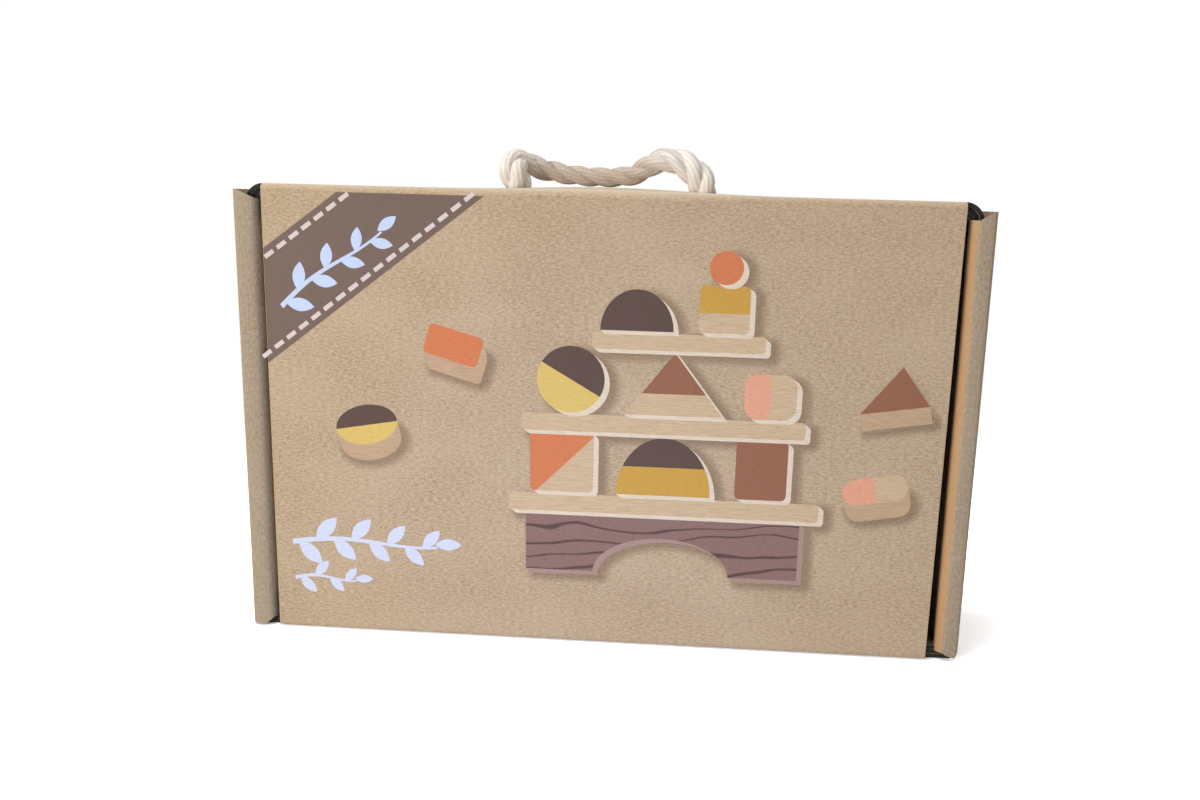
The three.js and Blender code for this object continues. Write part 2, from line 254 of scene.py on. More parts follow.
class Nodes:
    """Short calls that add nodes to one tree. Most give back an output socket."""

    def __init__(self, tree):
        self.tree = tree

    def feed(self, socket, value):
        """Links a socket to another one, or sets it to a constant."""
        if isinstance(value, bpy.types.NodeSocket):
            self.tree.links.new(value, socket)
        else:
            socket.default_value = value

    def add(self, kind, inputs=None, **settings):
        made = self.tree.nodes.new(kind)
        for key, value in settings.items():
            setattr(made, key, value)
        for key, value in (inputs or {}).items():
            self.feed(made.inputs[key], value)
        return made

    def maths(self, operation, a, b=0.0, clamp=False):
        return self.add("ShaderNodeMath", {0: a, 1: b}, operation=operation, use_clamp=clamp).outputs[0]

    def times(self, a, b):
        return self.maths("MULTIPLY", a, b)

    def vector(self, operation, a, b):
        """Vector maths. To scale, b is a number."""
        second = 3 if operation == "SCALE" else 1
        return self.add("ShaderNodeVectorMath", {0: a, second: b}, operation=operation).outputs["Vector"]

    def spread(self, value, low, high, to_low=0.0, to_high=1.0):
        """A value's range moved to another one, and held at its ends."""
        ends = {"From Min": low, "From Max": high, "To Min": to_low, "To Max": to_high}
        return self.add("ShaderNodeMapRange", {"Value": value, **ends}).outputs["Result"]

    def mix(self, factor, a, b):
        """Colour b laid over colour a."""
        made = self.add("ShaderNodeMix", data_type="RGBA")
        sockets = {s.identifier: s for s in made.inputs}
        for identifier, value in (("Factor_Float", factor), ("A_Color", a), ("B_Color", b)):
            self.feed(sockets[identifier], value)
        return next(s for s in made.outputs if s.identifier == "Result_Color")

    def noise(self, vector, scale, detail, rough, offset=(0, 0, 0)):
        """Noise with a scale of its own for each axis, in features to the metre."""
        place = self.add("ShaderNodeMapping", {"Vector": vector, "Scale": scale, "Location": offset})
        inputs = {"Vector": place.outputs["Vector"], "Scale": 1.0, "Detail": detail, "Roughness": rough}
        return self.add("ShaderNodeTexNoise", inputs).outputs["Fac"]

    def attribute(self, name):
        return self.add("ShaderNodeAttribute", attribute_name=name).outputs["Fac"]

    def uv(self, name):
        return self.add("ShaderNodeUVMap", uv_map=name).outputs["UV"]

    def place(self):
        return self.add("ShaderNodeTexCoord").outputs["Object"]

    def axes(self, vector):
        return self.add("ShaderNodeSeparateXYZ", {"Vector": vector}).outputs

    def seen(self):
        """One for rays of the camera and for those that mirrors and glass pass on."""
        path = self.add("ShaderNodeLightPath").outputs
        seen = self.maths("MAXIMUM", path["Is Camera Ray"], path["Is Glossy Ray"])
        return self.maths("MAXIMUM", seen, path["Is Transmission Ray"])

    def blend(self, factor, a, b):
        """The shader b in place of the shader a, by factor."""
        return self.add("ShaderNodeMixShader", {0: factor, 1: a.outputs[0], 2: b.outputs[0]})


def start_tree(name, kinds):
    """A new geometry node tree: its nodes, the geometry that comes in and its named inputs."""
    tree = bpy.data.node_groups.new(name, "GeometryNodeTree")
    face = tree.interface
    face.new_socket("Geometry", in_out="INPUT", socket_type="NodeSocketGeometry")
    for label, kind in kinds.items():
        face.new_socket(label, in_out="INPUT", socket_type=f"NodeSocket{kind}")
    face.new_socket("Geometry", in_out="OUTPUT", socket_type="NodeSocketGeometry")
    n = Nodes(tree)
    source = n.add("NodeGroupInput").outputs
    return n, source["Geometry"], {label: source[label] for label in kinds}


def end_tree(n, geometry, material):
    """Ends a tree in plain geometry that wears the material."""
    solid = n.add("GeometryNodeRealizeInstances", {"Geometry": geometry})
    dressed = n.add("GeometryNodeSetMaterial", {"Geometry": solid.outputs[0], "Material": material})
    n.add("NodeGroupOutput", {0: dressed.outputs[0]})
    return n.tree


def along_lines(name, lines, tree, values, fullness=None):
    """The plain mesh that a tree makes along lines.

    values are for its inputs, and fullness swells the points of the line.
    """
    curve = bpy.data.curves.new(name + "_line", "CURVE")
    curve.dimensions = "3D"
    for line in lines:
        spline = curve.splines.new("POLY")
        spline.points.add(len(line) - 1)
        spline.points.foreach_set("co", [value for place in line for value in (*place, 1.0)])
        if fullness is not None:
            spline.points.foreach_set("radius", fullness)
    carrier = new_object(name + "_line", curve)
    step = carrier.modifiers.new(name, "NODES")
    step.node_group = tree
    for item in tree.interface.items_tree:
        if item.name in values:
            step[item.identifier] = values[item.name]
    bpy.context.view_layer.update()
    graph = bpy.context.evaluated_depsgraph_get()
    mesh = bpy.data.meshes.new_from_object(carrier.evaluated_get(graph))
    mesh.name = name
    bpy.data.objects.remove(carrier)
    return mesh


# Materials

FULL_TURN = 2 * math.pi
PAPER_RELIEF = 0.07
INK_RELIEF = 0.08
PRINTED_WOOD_RELIEF = 0.06
FLUTE_PITCH = 0.0032
PRINTED_GRAIN_PITCH = 0.0058
YARNS_ROUND = 9
YARN_TWIST = 1150.0


def tint(key):
    """A colour of the settings, with full alpha."""
    return (*getattr(bpy.context.scene.balance_colours, key), 1.0)


def toned(colour, factor, lift=0.0):
    """A colour made paler or deeper."""
    return tuple(min(1.0, c * factor + lift) for c in colour[:3]) + (1.0,)


class Surface(Nodes):
    """A material of one principled shader."""

    def __init__(self, name, roughness):
        self.made = bpy.data.materials.new(name)
        self.made.use_nodes = True
        super().__init__(self.made.node_tree)
        self.tree.nodes.clear()
        sheen = {"Roughness": roughness, "Specular IOR Level": 0.25}
        self.shader = self.add("ShaderNodeBsdfPrincipled", sheen)
        self.output = self.add("ShaderNodeOutputMaterial", {"Surface": self.shader.outputs["BSDF"]})

    def finish(self, colour, height=None, strength=0.0, distance=0.0002):
        """Gives the shader its colour and, from a height, its relief."""
        self.feed(self.shader.inputs["Base Color"], colour)
        if height is not None:
            bump = self.add("ShaderNodeBump", {"Height": height, "Strength": strength, "Distance": distance})
            self.feed(self.shader.inputs["Normal"], bump.outputs["Normal"])
        return self.made


class Paper(Surface):
    """Paper in its own sheet coordinates, with its streaks and its fine grain."""

    def __init__(self, name, roughness=0.86):
        super().__init__(name, roughness)
        self.sheet = self.uv("sheet")
        self.streak = self.noise(self.sheet, (540, 1350, 1), 3.0, 0.6)
        self.fine = self.noise(self.sheet, (1350, 2500, 1), 2.0, 0.6, (3, 7, 0))

    def kraft(self, light, dark):
        """The colour of bare kraft paper: grain, clouds and specks."""
        tone = self.mix(self.spread(self.streak, 0.33, 0.67), dark, light)
        grain = self.mix(0.4, tone, self.mix(self.spread(self.fine, 0.38, 0.62), dark, light))
        cloud = self.noise(self.sheet, (26, 40, 1), 3.0, 0.5, (11, 2, 0))
        cloudy = self.mix(self.spread(cloud, 0.35, 0.7, 0.0, 0.28), grain, light)
        dots = self.noise(self.sheet, (620, 900, 1), 1.0, 0.4, (5, 9, 0))
        return self.mix(self.spread(dots, 0.752, 0.79, 0.0, 0.75), cloudy, rgb(112, 84, 58))

    def printed(self, colour, strength):
        """Finishes the paper with its own relief."""
        return self.finish(colour, self.maths("ADD", self.streak, self.times(self.fine, 0.6)), strength)


def kraft_material(name, light, dark):
    """Bare board, with orange painted light on a facet that faces the lamp and a pale painted highlight along
    the top fold, both set by the mesh's attributes.
    """
    s = Paper(name)
    # Painted light: where the crease attribute is set, the right roll's facet that faces the lamp is painted
    # orange, as if lit.
    painted_lit_facet = s.mix(s.times(s.attribute("crease"), 0.8), s.kraft(light, dark), rgb(208, 152, 90))
    # Painted highlight: the paper is made paler at the top fold and along the top, as if lit from above.
    painted_highlight = s.mix(s.times(s.attribute("painted_highlight"), 0.75), painted_lit_facet, rgb(236, 221, 202))
    return s.printed(painted_highlight, PAPER_RELIEF)


def flute_material(name):
    """The cut edge of the board: the hollows between the flutes painted near black as painted shade, and two
    thin liners.
    """
    s = Surface(name, 0.95)
    edge = s.axes(s.uv("edge"))
    wave = s.times(s.maths("SINE", s.times(edge["X"], FULL_TURN / FLUTE_PITCH)), 0.34)
    middle = s.maths("SUBTRACT", edge["Y"], 0.5)
    # The hollows of the flutes are painted near black: painted shade.
    flute = s.spread(s.maths("ABSOLUTE", s.maths("SUBTRACT", middle, wave)), 0.05, 0.12, 0.5, 0.0)
    liner = s.spread(s.maths("ABSOLUTE", middle), 0.40, 0.45)
    shown = s.maths("MAXIMUM", flute, liner, clamp=True)
    return s.finish(s.mix(shown, rgb(24, 20, 17), rgb(178, 154, 124)))


def shaded_flute_material(name):
    """The cut edge inside the corners: near black as painted shade, with a thin grey liner."""
    s = Surface(name, 0.7)
    edge = s.uv("edge")
    ruffle = s.times(s.maths("SUBTRACT", s.noise(edge, (900, 2.5, 1), 2.0, 0.6), 0.5), 0.5)
    middle = s.maths("SUBTRACT", s.maths("ADD", s.axes(edge)["Y"], ruffle), 0.5)
    liner = s.spread(s.maths("ABSOLUTE", middle), 0.0, 0.1, 0.5, 0.0)
    return s.finish(s.mix(liner, rgb(20, 18, 17), rgb(96, 90, 86)))


def ink_material(name, colour, show, rough=0.7):
    """Ink soaked into kraft paper, so a little of the paper shows through."""
    s = Paper(name, rough)
    tone = s.mix(s.spread(s.streak, 0.3, 0.7), toned(colour, 0.94), toned(colour, 1.08, 0.004))
    return s.printed(s.mix(s.times(s.fine, show), tone, rgb(190, 165, 132)), INK_RELIEF)


def shade_material(name):
    """A printed soft shadow: kraft paper darkened by the mesh's fade attribute."""
    s = Paper(name)
    soft = s.times(s.maths("POWER", s.attribute("fade"), 1.4), 0.62)
    plain = s.kraft(tint("kraft_light"), tint("kraft_dark"))
    return s.printed(s.mix(soft, plain, rgb(112, 88, 66)), PAPER_RELIEF)


def printed_wood(name, light, dark):
    """Printed wood: a pale ground with short fine grain lines."""
    s = Paper(name, 0.7)
    lines = s.noise(s.sheet, (140, 1700, 1), 3.0, 0.65, (2, 4, 0))
    ticks = s.noise(s.sheet, (300, 2600, 1), 1.0, 0.5, (8, 1, 0))
    tone = s.mix(s.spread(lines, 0.35, 0.68), light, dark)
    ticked = s.mix(s.spread(ticks, 0.66, 0.74, 0.0, 0.55), tone, rgb(150, 112, 74))
    return s.printed(ticked, PRINTED_WOOD_RELIEF)


def grained_ink(name, ground, line):
    """Printed stained wood: a brown ground with dark wandering grain lines."""
    s = Paper(name, 0.65)
    wander = s.times(s.noise(s.sheet, (16, 44, 1), 2.0, 0.5), 26.0)
    turn = s.times(s.axes(s.sheet)["Y"], FULL_TURN / PRINTED_GRAIN_PITCH)
    drawn = s.spread(s.maths("SINE", s.maths("ADD", turn, wander)), 0.80, 0.96, 0.0, 0.85)
    tone = s.mix(s.spread(s.streak, 0.3, 0.7), ground, toned(ground, 1.18, 0.01))
    return s.printed(s.mix(drawn, tone, line), PRINTED_WOOD_RELIEF)


def cotton_material(name):
    """Soft twisted cotton yarn: fine lines round each strand, from the sweep's own attributes."""
    s = Surface(name, 0.92)
    along, place = s.attribute("along"), s.place()
    ragged = s.noise(place, (700, 700, 700), 3.0, 0.6)
    turn = s.maths("ADD", s.times(s.attribute("around"), YARNS_ROUND * FULL_TURN), s.times(along, YARN_TWIST))
    lines = s.spread(s.maths("SINE", s.maths("ADD", turn, s.times(ragged, 5.0))), -1.0, 1.0)
    cloud = s.noise(place, (90, 90, 90), 2.0, 0.5)
    pale = s.mix(s.spread(cloud, 0.35, 0.65), tint("cotton"), rgb(238, 229, 218))
    lined = s.mix(s.spread(lines, 0.0, 0.45, 0.55, 0.0), pale, rgb(208, 193, 176))
    # The rope's middle stretch, behind the legs, is painted darker: painted shade where it lies out of the
    # light.
    painted_shade = s.times(s.spread(along, 0.027, 0.036), s.spread(along, 0.078, 0.091, 0.58, 0.0))
    s.feed(s.shader.inputs["Sheen Weight"], 0.25)
    s.feed(s.shader.inputs["Sheen Roughness"], 0.6)
    height = s.maths("ADD", lines, s.times(ragged, 0.8))
    return s.finish(s.mix(painted_shade, lined, rgb(160, 134, 108)), height, 0.55, 0.0004)


def wood_material(name, light, dark, stripe=0.0):
    """Sanded wood seen along its grain, stained or plain; stripe is the pitch of dark growth lines."""
    s = Surface(name, 0.5)
    place = s.place()
    sway = s.times(s.noise(place, (9, 9, 14), 2.0, 0.5), 0.03)
    bent = s.vector("ADD", place, s.add("ShaderNodeCombineXYZ", {"Z": sway}).outputs["Vector"])
    grain = s.noise(bent, (40, 600, 700), 4.0, 0.6)
    ticks = s.noise(bent, (260, 1500, 1900), 1.0, 0.5)
    deep = toned(dark, 0.55)
    tone = s.mix(s.spread(grain, 0.34, 0.68), light, dark)
    colour = s.mix(s.spread(ticks, 0.64, 0.72, 0.0, 0.5), tone, deep)
    if stripe:
        rings = s.maths("SINE", s.times(s.axes(bent)["Z"], FULL_TURN / stripe))
        colour = s.mix(s.spread(rings, 0.72, 0.98, 0.0, 0.7), colour, deep)
    return s.finish(colour, grain, 0.08, 0.0003)


# Each look's maker and what it takes. A word stands for a colour of the settings.
LOOKS = {
    "kraft": (kraft_material, "kraft_light", "kraft_dark"),
    "kraft_inside": (kraft_material, rgb(206, 181, 149), rgb(164, 136, 102)),
    # The rolls' paper: the same kraft made darker, as painted shade.
    "kraft_roll": (kraft_material, rgb(186, 167, 139), rgb(137, 117, 92)),
    "flutes": (flute_material,),
    "corner_flutes": (shaded_flute_material,),
    "cotton": (cotton_material,),
    "ink_brown": (ink_material, "band", 0.05, 0.55),
    "ink_stitch": (ink_material, "stitch", 0.05),
    "ink_white": (ink_material, "sprig", 0.03),
    "ink_pale_blue": (ink_material, "sprig_blue", 0.02),
    "ink_dark": (ink_material, "dark", 0.05),
    "ink_chestnut": (ink_material, "chestnut", 0.06),
    "ink_mustard": (ink_material, "mustard", 0.06),
    "ink_yellow": (ink_material, "yellow", 0.06),
    "ink_terracotta": (ink_material, "terracotta", 0.06),
    "ink_salmon": (ink_material, "salmon", 0.06),
    "ink_plum": (grained_ink, rgb(128, 98, 88), rgb(72, 52, 47)),
    "ink_plum_pale": (ink_material, rgb(164, 134, 122), 0.06),
    "paper_print": (shade_material,),
    "print_beech": (printed_wood, rgb(208, 182, 146), rgb(192, 162, 124)),
    "print_rim": (printed_wood, rgb(226, 209, 184), rgb(214, 194, 164)),
    "print_side": (printed_wood, rgb(196, 166, 132), rgb(180, 148, 114)),
    "beech": (wood_material, "beech", rgb(200, 164, 120)),
    "stain_plum": (wood_material, rgb(134, 104, 96), rgb(112, 84, 78), 0.0062),
    "stain_dark": (wood_material, rgb(84, 62, 54), rgb(64, 46, 40)),
    "stain_chestnut": (wood_material, rgb(146, 92, 64), rgb(120, 72, 48)),
    "stain_mustard": (wood_material, rgb(200, 152, 62), rgb(176, 128, 44)),
    "stain_yellow": (wood_material, rgb(216, 184, 98), rgb(198, 160, 74)),
    "stain_terracotta": (wood_material, rgb(208, 118, 72), rgb(184, 96, 54)),
    "stain_salmon": (wood_material, rgb(222, 158, 124), rgb(202, 136, 102)),
    "stain_white": (wood_material, rgb(232, 228, 226), rgb(214, 208, 206)),
}
LIBRARY = {}


def look(name):
    """One shared material of the set, made when it is first asked for."""
    if name not in LIBRARY:
        make, *values = LOOKS[name]
        LIBRARY[name] = make(name, *(tint(v) if isinstance(v, str) else v for v in values))
    return LIBRARY[name]


# Mesh building

OUTER, INNER, CUT = 0, 1, 2  # material slots of a board
SHARP_BOARD = math.radians(40)


def finish_piece(obj, body, slot, *nodes):
    """Sets a piece on its body and hides the solids that it stands for. slot is not used."""
    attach(obj, body)
    if nodes:
        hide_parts(*nodes)


def new_object(name, mesh):
    obj = bpy.data.objects.new(name, mesh)
    bpy.context.scene.collection.objects.link(obj)
    return obj


def mesh_from(name, verts, faces, uvs, edges_uv, slots, materials, smooth=None):
    """A mesh with its sheet and edge coordinates. uvs and edges_uv hold one pair for each face corner."""
    mesh = bpy.data.meshes.new(name)
    mesh.from_pydata(verts, [], faces)
    for layer_name, values in (("sheet", uvs), ("edge", edges_uv)):
        layer = mesh.uv_layers.new(name=layer_name)
        layer.data.foreach_set("uv", np.array(values, dtype=np.float32).ravel())
    for item in materials:
        mesh.materials.append(look(item))
    mesh.polygons.foreach_set("material_index", slots)
    if smooth is not None:
        mesh.polygons.foreach_set("use_smooth", smooth)
    mesh.validate()
    mesh.update()
    return mesh


def path_normals(line):
    """Unit normals of an open path of (u, v) points, to its left.

    They are stretched at bends, so that the offset path keeps its distance.
    """
    points = np.array(line, dtype=float)
    steps = np.diff(points, axis=0)
    steps /= np.linalg.norm(steps, axis=1)[:, None]
    sides = np.stack([-steps[:, 1], steps[:, 0]], 1)
    normals = np.empty_like(points)
    normals[0], normals[-1] = sides[0], sides[-1]
    for i in range(1, len(points) - 1):
        middle = sides[i - 1] + sides[i]
        middle /= np.linalg.norm(middle)
        normals[i] = middle / max(0.35, float(middle @ sides[i]))
    return normals


def folded_board(
    name, line, board, place, spans, pieces=1, fibre_along=True,
    sheet_start=(0.0, 0.0), edge="flutes", face="kraft",
):
    """A sheet of board that follows line, the (u, v) points of its outer face.

    Its thickness lies to the left. spans gives each point's low and high end along the third axis, and
    place turns (u, v, w) into a point. The sheet's fibres run along the path, or across it.
    """
    count = len(line)
    outer = np.array(line, dtype=float)
    inner = outer + path_normals(line) * board
    lengths = np.concatenate([[0.0], np.cumsum(np.linalg.norm(np.diff(outer, axis=0), axis=1))])
    faces, uvs, edge_uvs, slots, smooth = [], [], [], [], []

    def level(i, k):
        low, high = spans[i]
        return low + (high - low) * k / pieces

    def index(layer, i, k):
        return (layer * count + i) * (pieces + 1) + k

    def sheet_uv(i, k):
        u, v = (lengths[i], level(i, k)) if fibre_along else (level(i, k), lengths[i])
        return (u + sheet_start[0], v + sheet_start[1])

    def add(corners, sheet, edges, slot):
        faces.append([index(*c) for c in corners])
        uvs.extend(sheet)
        edge_uvs.extend(edges)
        slots.append(slot)
        smooth.append(slot != CUT)

    def add_cut(corners, start, end, forward):
        marks = [(start, 0.0), (start, 1.0), (end, 1.0), (end, 0.0)]
        turn = 1 if forward else -1
        add(corners[::turn], marks[::turn], marks[::turn], CUT)

    nothing = [(0.0, 0.0)] * 4
    for i in range(count - 1):
        for k in range(pieces):
            ring = [(i, k), (i + 1, k), (i + 1, k + 1), (i, k + 1)]
            sheet = [sheet_uv(*c) for c in ring]
            add([(0, *c) for c in ring], sheet, nothing, OUTER)
            add([(1, *c) for c in ring[::-1]], sheet[::-1], nothing, INNER)
        for k, forward in ((0, True), (pieces, False)):
            ring = [(0, i, k), (1, i, k), (1, i + 1, k), (0, i + 1, k)]
            add_cut(ring, lengths[i], lengths[i + 1], forward)
    for i, forward in ((0, False), (count - 1, True)):
        for k in range(pieces):
            ring = [(0, i, k), (1, i, k), (1, i, k + 1), (0, i, k + 1)]
            add_cut(ring, level(i, k), level(i, k + 1), forward)
    verts = [
        place(*layer[i], level(i, k))
        for layer in (outer, inner)
        for i in range(count)
        for k in range(pieces + 1)
    ]
    mesh = mesh_from(name, verts, faces, uvs, edge_uvs, slots, (face, "kraft_inside", edge), smooth)
    work = bmesh.new()
    work.from_mesh(mesh)
    bmesh.ops.recalc_face_normals(work, faces=work.faces)
    work.to_mesh(mesh)
    work.free()
    mesh.set_sharp_from_angle(angle=SHARP_BOARD)
    return new_object(name, mesh)


def bend(cu, cv, radius, start, end, steps=6):
    """Points of an arc about (cu, cv), from start to end in degrees."""
    angles = np.radians(np.linspace(start, end, steps + 1))
    return [(cu + radius * math.cos(a), cv + radius * math.sin(a)) for a in angles]


def even(line, low, high):
    return [(low, high)] * len(line)


def apply_modifiers(obj):
    """Turns an object's modifiers into mesh and removes them."""
    graph = bpy.context.evaluated_depsgraph_get()
    made = bpy.data.meshes.new_from_object(obj.evaluated_get(graph))
    old = obj.data
    obj.modifiers.clear()
    obj.data = made
    bpy.data.meshes.remove(old)


def punch(obj, cutters):
    for cutter in cutters:
        step = obj.modifiers.new("punch", "BOOLEAN")
        step.operation = "DIFFERENCE"
        step.solver = "EXACT"
        step.object = cutter
    apply_modifiers(obj)
    for cutter in cutters:
        bpy.data.objects.remove(cutter)


def cylinder_tool(name, x, y, low, high, radius, sides=40):
    mesh = bpy.data.meshes.new(name)
    work = bmesh.new()
    place = Matrix.Translation((x, y, (low + high) / 2))
    bmesh.ops.create_cone(
        work, cap_ends=True, segments=sides, radius1=radius, radius2=radius, depth=high - low, matrix=place
    )
    work.to_mesh(mesh)
    work.free()
    return new_object(name, mesh)


# Carton

LID_SHEET = -0.19  # where the lid starts on its sheet of paper
EASE = 0.0004  # how far a loose board stands off its neighbour
GAP = 0.0003  # room between boards that meet
BOW_START = 0.9  # share of the height above which the boards follow the top's bow
SWELL_REACH = 0.043
HIGHLIGHT = 0.85  # strength of the painted highlight at the top fold, how little of it is left behind and how soon it fades
LEAST_HIGHLIGHT = 0.4
HIGHLIGHT_REACH = 0.02
FOLD_SHEET = 0.05  # where the lid's fold starts on its sheet of paper
FLAP_ROUNDING = 0.006
ROLL_FOLD = 0.0021  # outer radius of a roll's front fold
ROLL_SINK = 0.0014  # how far a roll's upper end falls off to the back
ROLL_LOWEST = 0.46  # where a roll's front is lowest, in shares of its width from the knee
ROLL_BULGE = 0.0008  # how far the right roll's inner edge stands out below its top
ROUNDING_POWER = 1.7  # how a roll's lower end is rounded, and how much of that is left behind its front
ROUNDING_KEPT = 0.35
ROUNDING_REACH = 0.012
# How the painted light on the right roll's facet spreads across it and fades to the back.
LIT_FACET_SPREAD = 2.2
LIT_FACET_REACH = 0.012
CORNER_SETBACK = 0.0030  # how far the corner flaps' cut edges lie behind the lid
# How deep the dark ply of painted shade reaches behind a corner's cut edge.
SHADE_PLY_DEPTH = 0.0055
# How the inner board leans in behind the facet, across and deep
INNER_LEAN = ((0.0, 0.0012), (0.0002, 0.0026), (0.0014, 0.0060), (0.0024, 0.0115))
INNER_FOOT = 0.0028
# Shares of a roll's inner facet, across and deep
ROUND_BEND = [(math.sin(a), 1 - math.cos(a)) for a in np.radians((18, 34, 48, 60, 71, 81, 90))]
SHARP_BEND = ((0.17, 0.15), (0.47, 0.40), (0.76, 0.70), (0.92, 1.0))


def from_side(u, v, w):
    """The place of a path that is seen from the carton's side."""
    return (w, u, v)


def from_above(u, v, w):
    """The place of a path that is seen from above."""
    return (u, v, w)


def from_front(u, v, w):
    """The place of a path that is seen from the front."""
    return (u, w, v)


def held(value):
    """A share kept between none and all."""
    return max(0.0, min(1.0, value))


def settle(c, x, z):
    """How far the carton's right end has sunk at a place on its front or top."""
    return -c.sink * held(x / c.lid_half * 0.5 + 0.5) * max(0.0, z / c.height)


def top_bow(c, x, y):
    """How far the top board stands off its flat place: it dips to the back and swells between the holes."""
    t = held((y + c.depth / 2) / c.depth)
    swell = c.swell * math.exp(-((x / SWELL_REACH) ** 2)) * math.sin(math.pi * t) ** 0.8
    return swell - c.dip * t


def bowed(c, obj):
    """Moves a board's points with the bow of the top and the carton's lean."""
    start = c.height * BOW_START
    for vertex in obj.data.vertices:
        x, y, z = vertex.co
        if z > start:
            vertex.co.z += top_bow(c, x, y) * (z - start) / (c.height - start)
        vertex.co.z += settle(c, x, z)
    return obj


def paint_highlight(obj, amount):
    """Marks how strong a painted highlight is on a board's paper, by its place from front to back."""
    layer = obj.data.attributes.new("painted_highlight", "FLOAT", "POINT")
    for vertex in obj.data.vertices:
        layer.data[vertex.index].value = amount(vertex.co.y)


def build_back(c):
    back, half = c.depth / 2, c.width / 2
    r = c.back_fold
    # Beyond the bottom wall's ends it reaches down to the corner flaps.
    edges = (c.lid_half, c.lid_half + 0.0001, half - r)
    line = [(u, back) for u in edges[::-1]] + [(-u, back) for u in edges]
    ends = [(r if abs(u) == c.lid_half else EASE, c.height - r) for u, _ in line]
    obj = folded_board("back_board", line, c.board, from_above, ends, pieces=8)
    finish_piece(bowed(c, obj), TRAY, "board", "back_panel")


def build_walls(c):
    front, back = -c.depth / 2, c.depth / 2
    r = c.back_fold
    start, end, cells = front + c.fold, back - r, 14
    top = [(start + (end - start) * k / cells, c.height) for k in range(cells + 1)]
    top += bend(end, c.height - r, r, 90, 0)[1:]
    across = even(top, -c.lid_half, c.lid_half)
    top_board = folded_board("top_board", top[::-1], c.board, from_side, across, pieces=48, fibre_along=False)
    rope = bpy.context.scene.balance_rope
    radius, cut = rope.diameter / 2 + rope.hole_room, 0.006
    holes = [
        cylinder_tool(f"hole_tool_{name}", side * rope.spacing / 2, 0, c.height - cut, c.height + cut, radius)
        for name, side in SIDES
    ]
    punch(top_board, holes)
    # Painted highlight along the top, strongest at its front fold.
    paint_highlight(top_board, lambda y: max(LEAST_HIGHLIGHT, HIGHLIGHT - (y - start) / HIGHLIGHT_REACH))
    finish_piece(bowed(c, top_board), TRAY, "board", "top_wall")
    bottom = [(front + c.board + GAP, 0.0), (end, 0.0)] + bend(end, r, r, -90, 0)[1:]
    across = even(bottom, -c.lid_half, c.lid_half)
    bottom_board = folded_board("bottom_board", bottom, c.board, from_side, across, fibre_along=False)
    finish_piece(bottom_board, TRAY, "board", "bottom_wall")


def roll_path(c, facet, start, bends):
    """The rolled side wall from above: from the back panel, round its front fold, to the inner board's foot.

    facet is how deep the inner facet goes and start is where it starts. bends are shares of its width and
    its depth.
    """
    front, back, half = -c.depth / 2, c.depth / 2, c.width / 2
    r, lip = c.back_fold, c.roll_inner + EASE
    line = bend(half - r, back - r, r, 90, 0)
    inset = 0.02
    line += [(half, y) for y in (back - inset, 0.0, front + inset)]
    line += bend(half - ROLL_FOLD, front + ROLL_FOLD, ROLL_FOLD, 0, -82, 6)
    # The facet starts softly.
    line += [(start + 0.0006, front + 0.00002), (start, front + 0.00014)]
    line += [(start + (lip - start) * across, front + facet * deep) for across, deep in bends]
    line += [(lip + across, front + facet + deep) for across, deep in INNER_LEAN]
    return line + [(lip + INNER_FOOT, y) for y in (0.0, back - c.board - GAP)]


def roll_ends(c, line, start, knee, corner):
    """Low and high end of the rolled board at each point of its path: the front is cut on the slant.

    start is where the inner facet starts and knee is where the cut ends. The lower end is also rounded off
    towards the outer side, by corner.
    """
    front, half = -c.depth / 2, c.width / 2
    outer = half - ROLL_FOLD
    lowest = knee + ROLL_LOWEST * (half - knee)
    spans = []
    for u, v in line:
        rounding = corner * max(0.0, (u - lowest) / (half - lowest)) ** ROUNDING_POWER
        if u < start - 0.0001 or (u < outer and v < front + 0.0005):
            cut = c.roll_cut * held((outer - u) / (outer - knee))
            slant = c.roll_cut * held((lowest - u) / (lowest - knee))
            spans.append((max(slant, rounding), c.roll_top - cut))
        else:
            fade = max(ROUNDING_KEPT, 1 - max(0.0, v - front - ROLL_FOLD) / ROUNDING_REACH)
            spans.append((rounding * fade, c.roll_top - ROLL_SINK * max(0.0, (v - front) / c.depth)))
    return spans


def build_rolls(c):
    for name, side, facet, cut, opening, corner, bends in (
        ("left", -1, 0.0042, 0.0014, 0.0042, 0.0012, ROUND_BEND),
        ("right", 1, 0.0028, 0.0036, 0.0036, 0.0042, SHARP_BEND),
    ):
        knee, start = c.roll_inner + cut, c.roll_inner + opening
        line = roll_path(c, facet, start, bends)
        path = [(side * u, v) for u, v in line]
        ends = [(low, high - side * c.sink) for low, high in roll_ends(c, line, start, knee, corner)]
        if side > 0:
            path, ends = path[::-1], ends[::-1]
        # The rolls wear a darker copy of the kraft, as painted shade.
        obj = folded_board(
            f"side_roll_{name}",
            path,
            c.board,
            from_above,
            ends,
            pieces=12,
            fibre_along=False,
            sheet_start=(0.3 * side, 0.4),
            face="kraft_roll",
        )
        if side > 0:
            lean_roll(c, obj, knee)
        finish_piece(obj, TRAY, "board", f"side_wall_{name}")


def lean_roll(c, obj, knee):
    """Marks the right roll's inner facet for orange painted light where it faces the lamp, and leans its foot
    out.
    """
    front, half = -c.depth / 2, c.width / 2
    crease = obj.data.attributes.new("crease", "FLOAT", "POINT")
    for vertex in obj.data.vertices:
        x, y, z = vertex.co
        facing = held((knee - abs(x)) / (knee - c.roll_inner) * LIT_FACET_SPREAD)
        # The crease attribute holds painted light: orange on the facet that faces the lamp, fading to the
        # back.
        crease.data[vertex.index].value = facing * max(0.0, 1 - (y - front) / LIT_FACET_REACH)
        near, lower = max(0.0, 1 - (y - front) / c.depth), 1 - z / c.height
        inner = held((half - x) / (half - c.roll_inner))
        vertex.co.x += c.roll_lean * near * lower + ROLL_BULGE * inner * min(1.0, lower * 3)


